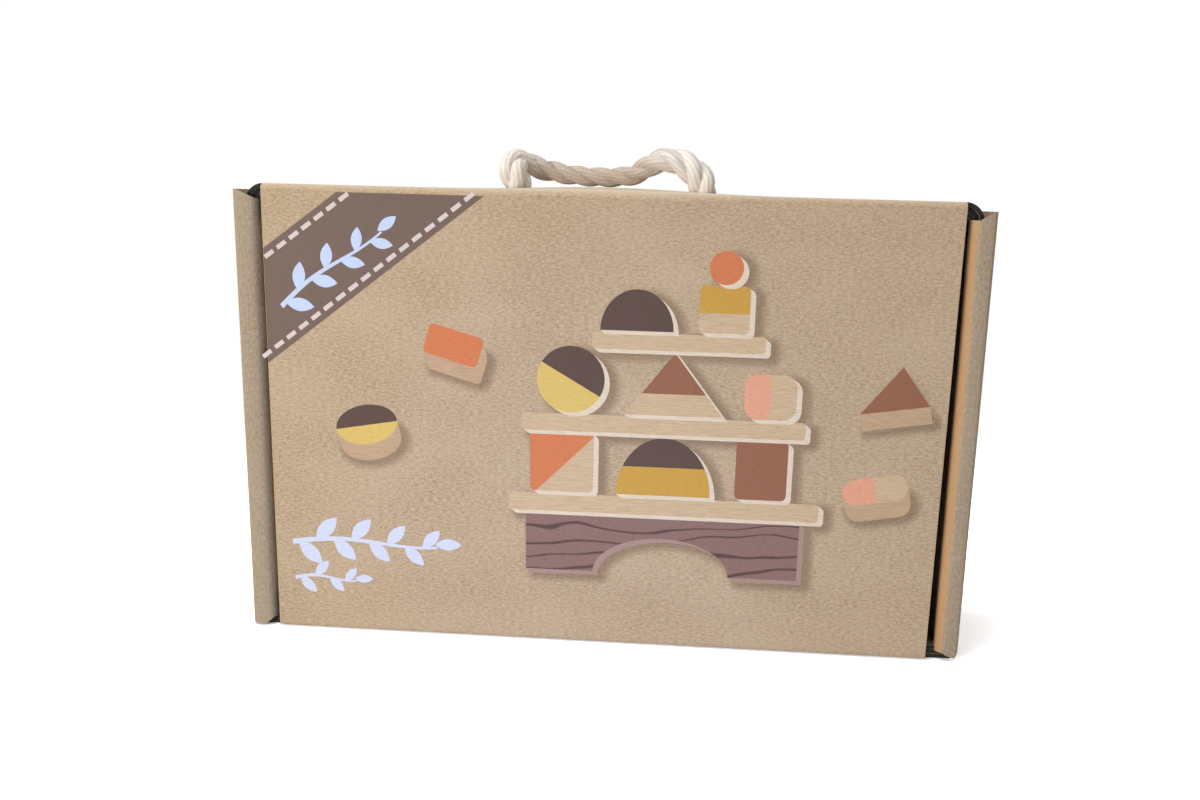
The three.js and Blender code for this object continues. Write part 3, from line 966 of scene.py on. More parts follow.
def build_corner_flaps(c):
    """The ends of the top and bottom walls, bent into the rolls. Their cut edges are near black and a dark
    ply stands behind each one: painted shade in the corners.
    """
    front, back, half = -c.depth / 2, c.depth / 2, c.width / 2
    near, far = front + CORNER_SETBACK, back - c.board - EASE
    edge, shade_inset, shade_thick = c.lid_half - 0.0006, 0.0021, 0.0030
    bent, hollow = c.lid_half + c.corner_bend + GAP, half - c.board
    for level, flip, r, reaches in (
        ("top", False, c.corner_bend + 0.0005, (bent, bent)),
        ("bottom", True, 0.0012, (hollow - EASE, hollow + 0.0012)),
    ):
        base = c.height - r
        for (name, side), reach in zip(SIDES, reaches):
            outer = [(edge, c.height)] + bend(reach - r, base, r, 90, 0, 10) + [(reach, base - c.flap_length)]
            inner = [(edge, c.height - shade_inset)]
            inner += [(reach - shade_inset, c.height - shade_inset)] if flip else bend(reach - r, base, r - shade_inset, 90, 0, 8)
            # The dark ply behind each cut edge fills the corner with painted shade.
            for kind, line, thick, span in (
                ("corner", outer, c.board, (near, far)),
                ("corner_shade_ply", inner, shade_thick, (near + EASE, near + SHADE_PLY_DEPTH)),
            ):
                path = [(side * u, c.height - v if flip else v) for u, v in line]
                obj = folded_board(
                    f"{kind}_{level}_{name}",
                    path[::-1] if (side > 0) != flip else path,
                    thick,
                    from_front,
                    even(path, *span),
                    fibre_along=False,
                    edge="corner_flutes",
                )
                nodes = [f"corner_flap_{level}_{name}"] if kind == "corner" else []
                finish_piece(bowed(c, obj), TRAY, "board", *nodes)


def build_lid(c):
    front = -c.depth / 2
    lip, top = 0.0013, c.height - c.fold
    line = bend(front + lip, c.lid_bottom + lip, lip, 270, 180, 4) + [(front, top)]
    across = even(line, -c.lid_half, c.lid_half)
    panel = folded_board(
        "lid_board", line[::-1], c.board, from_side, across, fibre_along=False, sheet_start=(0.0, LID_SHEET)
    )
    step = panel.modifiers.new("soft_edges", "BEVEL")
    step.width, step.segments, step.limit_method, step.angle_limit = 0.0005, 2, "ANGLE", math.radians(60)
    apply_modifiers(panel)
    finish_piece(bowed(c, panel), LID, "board", "lid_panel")
    fold = bend(front + c.fold, top, c.fold, 180, 90, 8)
    across = even(fold, -c.lid_half, c.lid_half)
    obj = folded_board(
        "lid_fold", fold[::-1], c.board, from_side, across,
        pieces=24, fibre_along=False, sheet_start=(0.0, FOLD_SHEET),
    )
    # Painted highlight along the lid's top fold, strongest at its top.
    paint_highlight(obj, lambda y: HIGHLIGHT * min(1.0, (y - front) / c.fold))
    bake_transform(bowed(c, obj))


def flap_depths(c, end):
    """Where a lid flap's outline bends, from its crease to its rounded far edge."""
    crease = -c.depth / 2 + c.board - 0.0001
    return (crease, end - FLAP_ROUNDING, end - FLAP_ROUNDING * 0.4, end)


def build_flaps(c):
    low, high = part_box("lid_tuck_flap")
    spans = [(low[0] + k, high[0] - k) for k in (0.0, 0.0, FLAP_ROUNDING * 0.35, FLAP_ROUNDING)]
    line = [(y, low[2]) for y in flap_depths(c, high[1])]
    flap = folded_board("tuck_board", line, c.board, from_side, spans, fibre_along=False)
    finish_piece(flap, "tuck_flap", "board", "lid_tuck_flap")
    for name, side in SIDES:
        low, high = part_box(f"lid_ear_{name}")
        path = [(side * c.lid_half, y) for y in flap_depths(c, high[1])]
        spans = [(low[2] + k, high[2] - k) for k in (0.0, 0.005, 0.007, 0.011)]
        if side < 0:
            path, spans = path[::-1], spans[::-1]
        ear = folded_board(f"ear_board_{name}", path, c.board, from_above, spans)
        finish_piece(ear, f"ear_{name}", "board", f"lid_ear_{name}")


# Rope

STRAND_STEP = 0.0007
STRAND_SIDES = 14
STRAND_OFFSET = 0.53  # where a strand's middle lies and its radius, in shares of the rope's radius
STRAND_RADIUS = 0.62
KNOT_ROPE = 0.0034
KNOT_LAY = 0.02
KNOT_STEPS, KNOT_TURN = 26, 13


def rope_route(c, r):
    """The rope's middle line from knot to knot, in metres, and how full it is along that line."""
    hole, top, under = r.spacing / 2 / MM, c.height / MM, (c.height - c.board) / MM
    end = under - 10
    points = [
        (-hole, 0, end, 1.0),
        (-hole, 0, under, 1.08),
        (-hole - 0.5, -0.8, top + 3.0, 1.3),
        (-hole - 2.1, -1.2, top + 6.8, 1.3),
        (-hole - 1.5, 1.8, top + 9.6, 1.24),
        (-hole + 2.2, 5.4, top + 9.2, 1.08),
        (-hole + 9.5, 7.2, top + 7.2, 0.95),
        (-hole + 22, 7.6, top + 5.2, 0.86),
        (1.6, 7.0, top + 4.9, 0.86),
        (9.5, 6.0, top + 6.3, 0.9),
        (15.5, 4.4, top + 10.0, 1.0),
        (22, 2.6, top + 12.2, 1.08),
        (28.5, 1.2, top + 10.6, 1.2),
        (33.8, 0.3, top + 6.4, 1.26),
        (hole - 0.9, 0, top + 2.6, 1.28),
        (hole, 0, under - 0.5, 1.08),
        (hole, 0, end, 1.0),
    ]
    line = centripetal([Vector(p[:3]) * MM for p in points], 12)
    progress = np.linspace(0, len(points) - 1, len(line))
    fullness = np.interp(progress, range(len(points)), [p[3] for p in points])
    return line, fullness


def centripetal(points, steps):
    """A smooth line through points, with the knots spaced by the root of their distance."""
    ends = [points[0] * 2 - points[1], *points, points[-1] * 2 - points[-2]]
    line = []
    for i in range(1, len(ends) - 2):
        p0, p1, p2, p3 = ends[i - 1 : i + 3]
        t1 = max((p1 - p0).length, 1e-9) ** 0.5
        t2 = t1 + max((p2 - p1).length, 1e-9) ** 0.5
        t3 = t2 + max((p3 - p2).length, 1e-9) ** 0.5
        for k in range(steps):
            t = t1 + (t2 - t1) * k / steps
            a1 = p0 * ((t1 - t) / t1) + p1 * (t / t1)
            a2 = p1 * ((t2 - t) / (t2 - t1)) + p2 * ((t - t1) / (t2 - t1))
            a3 = p2 * ((t3 - t) / (t3 - t2)) + p3 * ((t - t2) / (t3 - t2))
            b1 = a1 * ((t2 - t) / t2) + a2 * (t / t2)
            b2 = a2 * ((t3 - t) / (t3 - t1)) + a3 * ((t - t1) / (t3 - t1))
            line.append(b1 * ((t2 - t) / (t2 - t1)) + b2 * ((t - t1) / (t2 - t1)))
    line.append(points[-1].copy())
    return line


def strand_tree():
    """Geometry nodes that wind a number of round strands along a curve and give each its yarn coordinates."""
    name = "wound_strands"
    if name in bpy.data.node_groups:
        return bpy.data.node_groups[name]
    kinds = {"Strands": "Int", "Offset": "Float", "Radius": "Float", "Lay": "Float", "Material": "Material"}
    n, line, given = start_tree(name, kinds)

    def keep(geometry, label, value):
        """The geometry with a value kept at each point."""
        inputs = {"Geometry": geometry, "Name": label, "Value": value}
        return n.add("GeometryNodeStoreNamedAttribute", inputs, data_type="FLOAT", domain="POINT").outputs[0]

    evenly = {"Curve": line, "Length": STRAND_STEP}
    fine = n.add("GeometryNodeResampleCurve", evenly, mode="LENGTH").outputs[0]
    # The curve is copied once for each strand, and each copy is wound by its own share of a turn.
    amount = {"Geometry": fine, "Amount": given["Strands"]}
    copies = n.add("GeometryNodeDuplicateElements", amount, domain="SPLINE").outputs
    share = n.maths("DIVIDE", copies["Duplicate Index"], given["Strands"])
    length = n.add("GeometryNodeSplineParameter").outputs["Length"]
    angle = n.times(n.maths("ADD", n.maths("DIVIDE", length, given["Lay"]), share), FULL_TURN)
    normal = n.add("GeometryNodeInputNormal").outputs[0]
    across = n.vector("CROSS_PRODUCT", n.add("GeometryNodeInputTangent").outputs[0], normal)
    full = n.add("GeometryNodeInputRadius").outputs[0]
    offset = n.times(full, given["Offset"])
    shift = n.vector(
        "ADD",
        n.vector("SCALE", normal, n.times(n.maths("COSINE", angle), offset)),
        n.vector("SCALE", across, n.times(n.maths("SINE", angle), offset)),
    )
    wound = n.add("GeometryNodeSetPosition", {"Geometry": keep(copies[0], "along", length), "Offset": shift})
    ring = n.add("GeometryNodeCurvePrimitiveCircle", {"Resolution": STRAND_SIDES, "Radius": given["Radius"]})
    profile = keep(ring.outputs[0], "around", n.add("GeometryNodeSplineParameter").outputs["Factor"])
    sweep = {"Curve": wound.outputs[0], "Profile Curve": profile, "Scale": full, "Fill Caps": True}
    swept = n.add("GeometryNodeCurveToMesh", sweep)
    smooth = n.add("GeometryNodeSetShadeSmooth", {"Geometry": swept.outputs[0]})
    return end_tree(n, smooth.outputs[0], given["Material"])


def wind_rope(name, line, radius, lay, fullness=None):
    """A piece of twisted strands along line, made by the strand tree."""
    values = {
        "Strands": bpy.context.scene.balance_rope.strands,
        "Offset": radius * STRAND_OFFSET,
        "Radius": radius * STRAND_RADIUS,
        "Lay": lay,
        "Material": look("cotton"),
    }
    return new_object(name, along_lines(name, [line], strand_tree(), values, fullness))


def knot_line(centre, top, low, turn):
    """A tight overhand knot under the rope's end: down, twice round and a short tail."""
    points = [(centre, 0, top - 0.0006), (centre, 0, top - 0.0034)]
    for k in range(KNOT_STEPS + 1):
        a = turn + FULL_TURN * k / KNOT_TURN
        lift = (1 - k / KNOT_STEPS) * 0.0036 + 0.0040
        reach = 0.0041 + 0.0006 * math.sin(2.5 * a)
        points.append((centre + reach * math.cos(a), reach * math.sin(a), low + lift))
    points += [(centre, 0.001, low + 0.0032), (centre + 0.0006, 0.0, low + 0.0006)]
    return centripetal([Vector(p) for p in points], 3)


def build_rope(c, r):
    line, fullness = rope_route(c, r)
    rope = wind_rope("rope", line, r.diameter / 2, r.lay, fullness)
    finish_piece(rope, HANDLE, "rope", "rope_handle")
    for name, turn in (("left", 0.6), ("right", 2.2)):
        low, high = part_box(f"rope_knot_{name}")
        route = knot_line((low[0] + high[0]) / 2, high[2], low[2], turn)
        knot = wind_rope(f"knot_{name}", route, KNOT_ROPE, KNOT_LAY)
        finish_piece(knot, HANDLE, "rope", f"rope_knot_{name}")


# Print, in millimetres

SHADOW_SHIFT = (1.6, -0.8)
SHADOW_REACH = 4.6
LEAST_AREA = 1e-3
STEM_WAVES = 5.2
STEM_SWAY = 0.12
LEAF_TURN = 46


def signed_area(outline):
    """Twice an outline's area, above zero where it runs to the left."""
    return sum(a[0] * b[1] - b[0] * a[1] for a, b in zip(outline, outline[1:] + outline[:1]))


def turned(points, cx, cz, tilt):
    """Points turned by tilt, in degrees, and set about (cx, cz)."""
    cos, sin = math.cos(math.radians(tilt)), math.sin(math.radians(tilt))
    return [(cx + u * cos - v * sin, cz + u * sin + v * cos) for u, v in points]


class PrintedSheet:
    """Shapes printed over each other on the lid's face, in millimetres, and kept as one layer of faces."""

    def __init__(self, c, lift):
        self.c = c
        self.depth = -c.depth / 2 - lift
        self.shapes, self.casters = [], []

    def put(self, outline, ink):
        self.shapes.append((outline if signed_area(outline) > 0 else outline[::-1], ink))

    def block(self, parts, side, side_ink="print_rim", reach=SHADOW_REACH):
        """A wooden block: its printed shadow, its edge swept along the vector side, then its face."""
        whole = parts[0][0]
        moved = [(x + side[0], z + side[1]) for x, z in whole]
        self.casters.append((np.array(moved) + SHADOW_SHIFT, reach))
        self.put(moved, side_ink)
        for k, point in enumerate(whole):
            after = (k + 1) % len(whole)
            quad = [point, whole[after], moved[after], moved[k]]
            if abs(signed_area(quad)) > LEAST_AREA:
                self.put(quad, side_ink)
        for outline, ink in parts:
            self.put(outline, ink)

    def shade(self, points):
        """How dark the printed shadow is at points: full under a block and fading out round it."""
        dark = np.zeros(len(points))
        for outline, reach in self.casters:
            starts, ends = outline, np.roll(outline, -1, axis=0)
            low, high = outline.min(axis=0) - reach, outline.max(axis=0) + reach
            picked = np.where(np.all((points > low) & (points < high), axis=1))[0]
            if not len(picked):
                continue
            p = points[picked][:, None, :]
            run = ends - starts
            t = np.clip(((p - starts) * run).sum(2) / np.maximum((run**2).sum(1), 1e-9), 0, 1)
            gap = np.linalg.norm(p - (starts + t[..., None] * run), axis=2).min(1)
            above = (starts[:, 1] > p[..., 1]) != (ends[:, 1] > p[..., 1])
            rise = np.where(ends[:, 1] == starts[:, 1], 1e-9, ends[:, 1] - starts[:, 1])
            cross = starts[:, 0] + (p[..., 1] - starts[:, 1]) / rise * run[:, 0]
            inside = (above & (p[..., 0] < cross)).sum(1) % 2 == 1
            level = np.where(inside, 1.0, np.clip(1 - gap / reach, 0, 1))
            dark[picked] = np.maximum(dark[picked], level * level * (3 - 2 * level))
        return dark

    def build(self, name, region, spacing=1.6):
        """One flat mesh of the region. Each face takes the ink of the last shape laid on it."""
        stack = [(region, "paper_print"), *self.shapes]
        spots, rings = [], []
        for outline, ink in stack:
            rings.append(list(range(len(spots), len(spots) + len(outline))))
            spots += [Vector(p) for p in outline]
        low, high = np.array(region).min(axis=0) + spacing / 2, np.array(region).max(axis=0) - spacing / 2
        columns, rows = (np.arange(a, b, spacing) for a, b in zip(low, high))
        grid = np.stack(np.meshgrid(columns, rows), -1).reshape(-1, 2)
        level = self.shade(grid)
        close = grid[(level > 0.0) & (level < 1.0)]
        spots += [Vector(p) for p in close]
        flat, _, faces, _, _, origins = delaunay_2d_cdt(spots, [], rings, 1, 1e-4, True)
        places = np.array([tuple(v) for v in flat])
        inks = sorted({ink for _, ink in stack})
        kept, slots, uvs = [], [], []
        top = (self.c.height - self.c.fold) / MM
        for face, origin in zip(faces, origins):
            if not origin:
                continue
            kept.append(face)
            slots.append(inks.index(stack[max(origin)][1]))
            uvs += [(flat[i].x * MM, (top - flat[i].y) * MM + LID_SHEET) for i in face]
        verts = [(x * MM, self.depth, z * MM) for x, z in places]
        mesh = mesh_from(name, verts, kept, uvs, uvs, slots, inks)
        layer = mesh.attributes.new("fade", "FLOAT", "POINT")
        layer.data.foreach_set("value", self.shade(places))
        return bowed(self.c, new_object(name, mesh))


def ellipse(cx, cz, rx, rz, steps=36, tilt=0.0):
    angles = np.radians(np.linspace(0, 360, steps, endpoint=False))
    return turned([(rx * math.cos(a), rz * math.sin(a)) for a in angles], cx, cz, tilt)


def rounded(cx, cz, width, height, radius, tilt=0.0):
    points = []
    for k, (sx, sz) in enumerate(((1, 1), (-1, 1), (-1, -1), (1, -1))):
        points += bend(sx * (width / 2 - radius), sz * (height / 2 - radius), radius, 90 * k, 90 * k + 90, 4)
    return turned(points, cx, cz, tilt)


def half_round(cx, cz, rx, rz):
    """The upper half of an ellipse, from its right end to its left."""
    return [(cx + rx * math.cos(a), cz + rz * math.sin(a)) for a in np.linspace(0, math.pi, 25)]


def part_of(outline, tilt, level):
    """The part of an outline that lies beyond level along the direction tilt, in degrees."""
    way = (math.cos(math.radians(tilt)), math.sin(math.radians(tilt)))
    heights = [x * way[0] + z * way[1] - level for x, z in outline]
    kept = []
    for k, point in enumerate(outline):
        j = (k + 1) % len(outline)
        if heights[k] >= 0:
            kept.append(point)
        if (heights[k] >= 0) != (heights[j] >= 0):
            t = heights[k] / (heights[k] - heights[j])
            kept.append(tuple(a + (b - a) * t for a, b in zip(point, outline[j])))
    return kept


def leaf(cx, cz, length, width, tilt):
    """A pointed leaf from its stalk at (cx, cz)."""
    side = [(length * s, width / 2 * math.sin(math.pi * s) ** 0.85) for s in np.linspace(0, 1, 10)]
    return turned(side + [(u, -v) for u, v in side[-2:0:-1]], cx, cz, tilt)


def band_outline(c):
    """The corner band in millimetres: its slanted edges meet the lid's top fold and its left edge."""
    left, top = -c.lid_half / MM + 0.15, (c.height - c.fold) / MM - 0.1
    return [(-102.5, top), (-45.8, top), (left, 111.4), (left, 156.4)]


def dash_tree():
    """Geometry nodes that set flat dashes along curves at an even pitch."""
    kinds = {"Pitch": "Float", "Dash": "Float", "Width": "Float", "Material": "Material"}
    n, lines, given = start_tree("dashes", kinds)
    evenly = {"Curve": lines, "Length": given["Pitch"]}
    points = n.add("GeometryNodeCurveToPoints", evenly, mode="LENGTH").outputs
    size = {"Size X": given["Dash"], "Size Y": given["Width"], "Vertices X": 2, "Vertices Y": 2}
    dash = n.add("GeometryNodeMeshGrid", size).outputs["Mesh"]
    stood = {"Geometry": dash, "Rotation": (math.radians(90), 0, 0)}
    upright = n.add("GeometryNodeTransform", stood).outputs[0]
    way = n.add("FunctionNodeAlignRotationToVector", {"Vector": points["Tangent"]}, axis="X", pivot_axis="Y")
    setting = {"Points": points["Points"], "Instance": upright, "Rotation": way.outputs[0]}
    placed = n.add("GeometryNodeInstanceOnPoints", setting)
    return end_tree(n, placed.outputs[0], given["Material"])


def build_stitches(c, s):
    """Two rows of printed stitches along the corner band."""
    top_left, top_right, low, high = (Vector(p) * MM for p in band_outline(c))
    inset, depth = 0.0031, -c.depth / 2 - 2 * s.lift

    def row(start, end, side, before, after):
        way = (end - start).normalized()
        shift = Vector((way.y, -way.x)) * inset * side
        return [(p.x, depth, p.y) for p in (start + shift + way * before, end + shift - way * after)]

    lines = [row(high, top_left, 1, 0.0004, -0.0012), row(low, top_right, -1, 0.0020, 0.0048)]
    values = {"Pitch": s.pitch, "Dash": s.dash, "Width": s.dash_width, "Material": look("ink_stitch")}
    mesh = along_lines("print_stitches", lines, dash_tree(), values)
    for layer_name in ("sheet", "edge"):
        layer = mesh.uv_layers.new(name=layer_name)
        for loop in mesh.loops:
            place = mesh.vertices[loop.vertex_index].co
            layer.data[loop.index].uv = (place.x, place.z)
    finish_piece(bowed(c, new_object("print_stitches", mesh)), LID, "board")


def sprig(sheet, start, length, tilt, leaves, size, ink):
    """A stem with leaves to both sides, an ornament of common shapes."""
    start = Vector(start)
    way, across = (Vector(turned([p], 0, 0, tilt)[0]) for p in ((1, 0), (0, 1)))

    def stem(s):
        return start + way * length * s + across * math.sin(s * STEM_WAVES) * size * STEM_SWAY

    upper, lower = [], []
    for s in np.linspace(0, 1, 25):
        width = across * size * (0.085 - 0.05 * s)
        upper.append(tuple(stem(s) + width))
        lower.append(tuple(stem(s) - width))
    sheet.put(lower + upper[::-1], ink)
    for k in range(leaves):
        s = (k + 0.35) / (leaves + 0.2)
        grown, side = size * (1.0 - 0.25 * s), 1 if k % 2 else -1
        sheet.put(leaf(*stem(s), grown, grown * 0.46, tilt + side * LEAF_TURN), ink)
    tip = start + way * (length - 1)
    sheet.put(leaf(*tip, size * 0.8, size * 0.36, tilt), ink)


def build_picture(c, s):
    """The printed front: a corner band, a tower of plain toy blocks, loose blocks and leaf sprigs."""
    sheet = PrintedSheet(c, s.lift)
    side = (2.0, -1.5)
    sheet.put(band_outline(c), "ink_brown")
    sprig(sheet, (-125.5, 134.0), 50, 38.0, 7, 11.5, "ink_pale_blue")
    bridge = [(-29, 31), (-29, 54.5), (79, 54.5), (79, 31), *half_round(25, 31, 27, 15)]
    sheet.block([(bridge, "ink_plum")], side, "ink_plum_pale")
    sheet.block([(rounded(25, 59.4, 122, 7.4, 1.4), "print_beech")], side)
    cube = rounded(-15, 76.2, 25, 24.6, 2.0)
    sheet.block([(cube, "ink_terracotta"), (part_of(cube, -45, -63.0), "print_beech")], side)
    dome = half_round(25, 63.9, 18.5, 23.5)
    sheet.block([(dome, "ink_mustard"), (part_of(dome, 90, 75.5), "ink_dark")], side)
    sheet.block([(rounded(63, 76.0, 20, 24.2, 2.0), "ink_chestnut")], side)
    sheet.block([(rounded(24, 92.2, 110, 7.0, 1.4), "print_beech")], side)
    disc = ellipse(-12, 109.4, 13.2, 13.2)
    sheet.block([(disc, "ink_yellow"), (part_of(disc, 60, 88.8), "ink_dark")], side)
    roof = [(9, 96.4), (47, 96.4), (28, 121.2)]
    sheet.block([(roof, "ink_chestnut"), (part_of(roof, -90, -105), "print_beech")], side)
    pill = rounded(65, 105.2, 20, 17.8, 5.0)
    sheet.block([(pill, "ink_salmon"), (part_of(pill, 0, 65), "print_beech")], side)
    sheet.block([(rounded(29, 125.2, 66, 6.6, 1.4), "print_beech")], side)
    sheet.block([(half_round(13, 129.2, 14, 16), "ink_dark")], side)
    crate = rounded(46, 138.4, 19, 18.2, 2.0)
    sheet.block([(crate, "ink_mustard"), (part_of(crate, -90, -137), "print_beech")], side)
    sheet.block([(ellipse(46, 154.2, 6.4, 6.4), "ink_terracotta")], side)
    thick = (1.6, -6.5)
    coin = ellipse(-93, 88, 12.5, 8.0, tilt=12)
    sheet.block([(coin, "ink_yellow"), (part_of(coin, 100, 102.6), "ink_dark")], thick, "print_side")
    brick = rounded(-58, 121, 22, 12, 2.0, -16)
    sheet.block([(brick, "ink_terracotta")], thick, "print_side")
    wedge = [(99, 100), (125, 104), (114, 119)]
    sheet.block([(wedge, "ink_chestnut")], thick, "print_side")
    bar = rounded(107, 70, 25, 10.5, 5.0, 10)
    sheet.block([(bar, "ink_salmon"), (part_of(bar, 10, 117.5), "print_beech")], thick, "print_side")
    sprig(sheet, (-125.0, 37.5), 60, 1.5, 8, 13.5, "ink_white")
    sprig(sheet, (-124.5, 22.0), 26, 1.5, 4, 9.5, "ink_white")
    foot = 2.2
    edge, top = c.lid_half / MM - 0.12, (c.height - c.fold) / MM - 0.05
    region = [(-edge, foot), (edge, foot), (edge, top), (-edge, top)]
    finish_piece(sheet.build("print_sheet", region), LID, "board")


# Game

FLAT_WOOD = math.radians(1.5)
HARD_WOOD = math.radians(32)
SHARP_WOOD = math.radians(38)
CAP_SHARE = 0.18  # how far a cap's rim lies from the middle, in shares of half a nut


def rounded_copy(name, source, edge, stains, split=None):
    """A copy of a CAD node's mesh with its hard edges rounded. split, an x and a side, parts two stains."""
    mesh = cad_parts[source].data.copy()
    mesh.name = name
    mesh.materials.clear()
    for item in stains:
        mesh.materials.append(look(item))
    work = bmesh.new()
    work.from_mesh(mesh)
    bmesh.ops.remove_doubles(work, verts=work.verts, dist=1e-6)
    bmesh.ops.dissolve_limit(work, angle_limit=FLAT_WOOD, verts=work.verts, edges=work.edges)
    sharp = [e for e in work.edges if len(e.link_faces) == 2 and e.calc_face_angle() > HARD_WOOD]
    bmesh.ops.bevel(
        work, geom=sharp, offset=edge, segments=2, profile=0.6, affect="EDGES", clamp_overlap=True
    )
    if split:
        whole = [*work.verts, *work.edges, *work.faces]
        bmesh.ops.bisect_plane(work, geom=whole, plane_co=(split[0], 0, 0), plane_no=(1, 0, 0))
    for face in work.faces:
        face.smooth = True
        middle = face.calc_center_median().x
        face.material_index = int(bool(split) and (middle - split[0]) * split[1] > 0)
    work.to_mesh(mesh)
    work.free()
    mesh.set_sharp_from_angle(angle=SHARP_WOOD)
    return new_object(name, mesh)


def soft_band(points, widths, steps=6):
    """The outline of a band that follows points and swells by widths."""
    middle = centripetal([Vector((x, 0, z)) for x, z in points], steps)
    sizes = np.interp(np.linspace(0, len(points) - 1, len(middle)), range(len(points)), widths)
    left, right = [], []
    for k, place in enumerate(middle):
        way = (middle[min(k + 1, len(middle) - 1)] - middle[max(k - 1, 0)]).normalized()
        across = Vector((-way.z, 0, way.x)) * sizes[k] / 2
        left.append((place.x + across.x, place.z + across.z))
        right.append((place.x - across.x, place.z - across.z))
    return left + right[::-1]


def build_paint(g):
    """Painted marks on both faces of the animal: an eye, nose and cheek, a pale chest and a tail stripe."""
    low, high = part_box("animal")
    tail = [(59, 25), (68, 36), (72, 52), (69, 70), (66, 86), (68, 97)]
    chest = [(-45, 14), (-41, 30), (-36, 46), (-34, 58)]
    shapes = [
        (soft_band(tail, (2, 9, 13, 12, 9, 2)), "stain_white"),
        (soft_band(chest, (2, 8, 10, 3)), "stain_white"),
        (ellipse(-41, 89.5, 2.6, 3.0), "stain_dark"),
        (ellipse(-35, 81.0, 4.4, 4.0), "stain_terracotta"),
        (ellipse(-57.6, 83.4, 2.7, 2.3, tilt=-30), "stain_dark"),
    ]
    verts, faces, uvs, slots = [], [], [], []
    inks = sorted({ink for _, ink in shapes})
    for depth, front in ((low[1] - g.paint_lift, True), (high[1] + g.paint_lift, False)):
        for outline, ink in shapes:
            points = [(x * MM, depth, low[2] + z * MM) for x, z in outline]
            if (signed_area(outline) > 0) != front:
                points.reverse()
            faces.append(list(range(len(verts), len(verts) + len(points))))
            verts += points
            uvs += [(p[0], p[2]) for p in points]
            slots.append(inks.index(ink))
    mesh = mesh_from("animal_paint", verts, faces, uvs, uvs, slots, inks)
    finish_piece(new_object("animal_paint", mesh), GAME, "animal_wood")


def build_game(g):
    for name, source, stain, slot in (
        ("rocker_wood", "rocker", "stain_plum", "rocker_wood"),
        ("animal_wood", "animal", "beech", "animal_wood"),
        ("dowel_wood_front", "dowel_front", "beech", "beech"),
        ("dowel_wood_rear", "dowel_rear", "beech", "beech"),
    ):
        finish_piece(rounded_copy(name, source, g.edge, [stain]), GAME, slot, source)


def build_nuts(g):
    """Twelve stacking nuts, each with a cap of its own colour."""
    caps = ("stain_dark", "stain_chestnut", "stain_dark")
    bodies = ("stain_mustard", "beech", "stain_terracotta", "stain_salmon", "stain_yellow", "stain_chestnut")
    for k in range(12):
        source = f"nut_{k + 1:02d}"
        low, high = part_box(source)
        right, layer, row = k // 6, (k % 6) // 3, k % 3
        flipped = (row + layer + right) % 2
        middle = (low[0] + high[0]) / 2
        rim = (high[0] - low[0]) / 2 * CAP_SHARE
        split = (middle + rim, 1) if flipped else (middle - rim, -1)
        body = bodies[(5 * k + layer) % 6]
        cap = caps[k % 3] if body != "stain_chestnut" else "beech"
        obj = rounded_copy(f"nut_wood_{k + 1:02d}", source, g.edge, [body, cap], split)
        finish_piece(obj, TRAY, "nut_wood", source)


# Stage

SENSOR = 36.0
FOCAL_SHARE = 1050 / 1200  # focal length over the picture's width
CAMERA_PLACE = (0.027712, -0.424785, 0.188416)
CAMERA_RIGHT = Vector((0.9968862, 0.0756809, 0.0221414))
CAMERA_DOWN = Vector((0.0377402, -0.2113855, -0.9766739))
CAMERA_AHEAD = Vector((-0.0692351, 0.9744684, -0.2135835))
WHITE = (1, 1, 1, 1)
# Each lamp's place, target, size, power and colour
LAMPS = {
    "key": ((-0.80, -0.86, 0.32), (0, 0, 0.08), 0.45, 7.6, (1.0, 0.98, 0.94)),
    "fill": ((0.7, -1.0, 0.3), (0, 0, 0.06), 0.9, 0.7, (0.95, 0.97, 1.0)),
    "top": ((-0.15, -0.10, 0.95), (0, 0, 0.15), 0.5, 4.2, (1.0, 1.0, 1.0)),
    "back": ((0.7, 1.1, 0.6), (0, 0, 0.1), 0.9, 5.0, (0.97, 0.98, 1.0)),
    "low": ((0.0, -0.25, 0.035), (0, 0, 0.03), 0.06, 0.16, (0.30, 0.45, 1.0)),
}


def set_camera(scene):
    camera = bpy.data.cameras.new("camera")
    camera.sensor_width = SENSOR
    camera.lens = FOCAL_SHARE * SENSOR
    camera.clip_start = 0.01
    holder = new_object("camera", camera)
    turn = Matrix((CAMERA_RIGHT, -CAMERA_DOWN, -CAMERA_AHEAD)).transposed().to_4x4()
    holder.matrix_world = Matrix.Translation(CAMERA_PLACE) @ turn
    scene.camera = holder


def set_floor():
    """A pale floor. The camera and mirrors see it white, with the shadow kept close to the object."""
    mesh = bpy.data.meshes.new("floor")
    work = bmesh.new()
    bmesh.ops.create_grid(work, x_segments=1, y_segments=1, size=6.0)
    work.to_mesh(mesh)
    work.free()
    s = Surface("floor", 0.9)
    mesh.materials.append(s.finish((0.85, 0.85, 0.85, 1)))
    near = s.add("ShaderNodeBsdfDiffuse", {"Color": (2.5, 2.5, 2.5, 1)})
    far = s.add("ShaderNodeEmission", {"Color": WHITE, "Strength": 1.0})
    distance = s.add("ShaderNodeVectorMath", {0: s.place()}, operation="LENGTH").outputs["Value"]
    shown = s.blend(s.spread(distance, 0.22, 0.45), near, far)
    s.feed(s.output.inputs["Surface"], s.blend(s.seen(), s.shader, shown).outputs[0])
    floor = new_object("floor", mesh)
    floor.location.z = -0.0002


def set_world(scene):
    scene.world = bpy.data.worlds.new("studio")
    scene.world.use_nodes = True
    n = Nodes(scene.world.node_tree)
    n.tree.nodes.clear()
    plain = n.add("ShaderNodeBackground", {"Color": (0.97, 0.98, 1.0, 1), "Strength": 0.24})
    white = n.add("ShaderNodeBackground", {"Color": WHITE, "Strength": 1.0})
    n.add("ShaderNodeOutputWorld", {"Surface": n.blend(n.seen(), plain, white).outputs[0]})


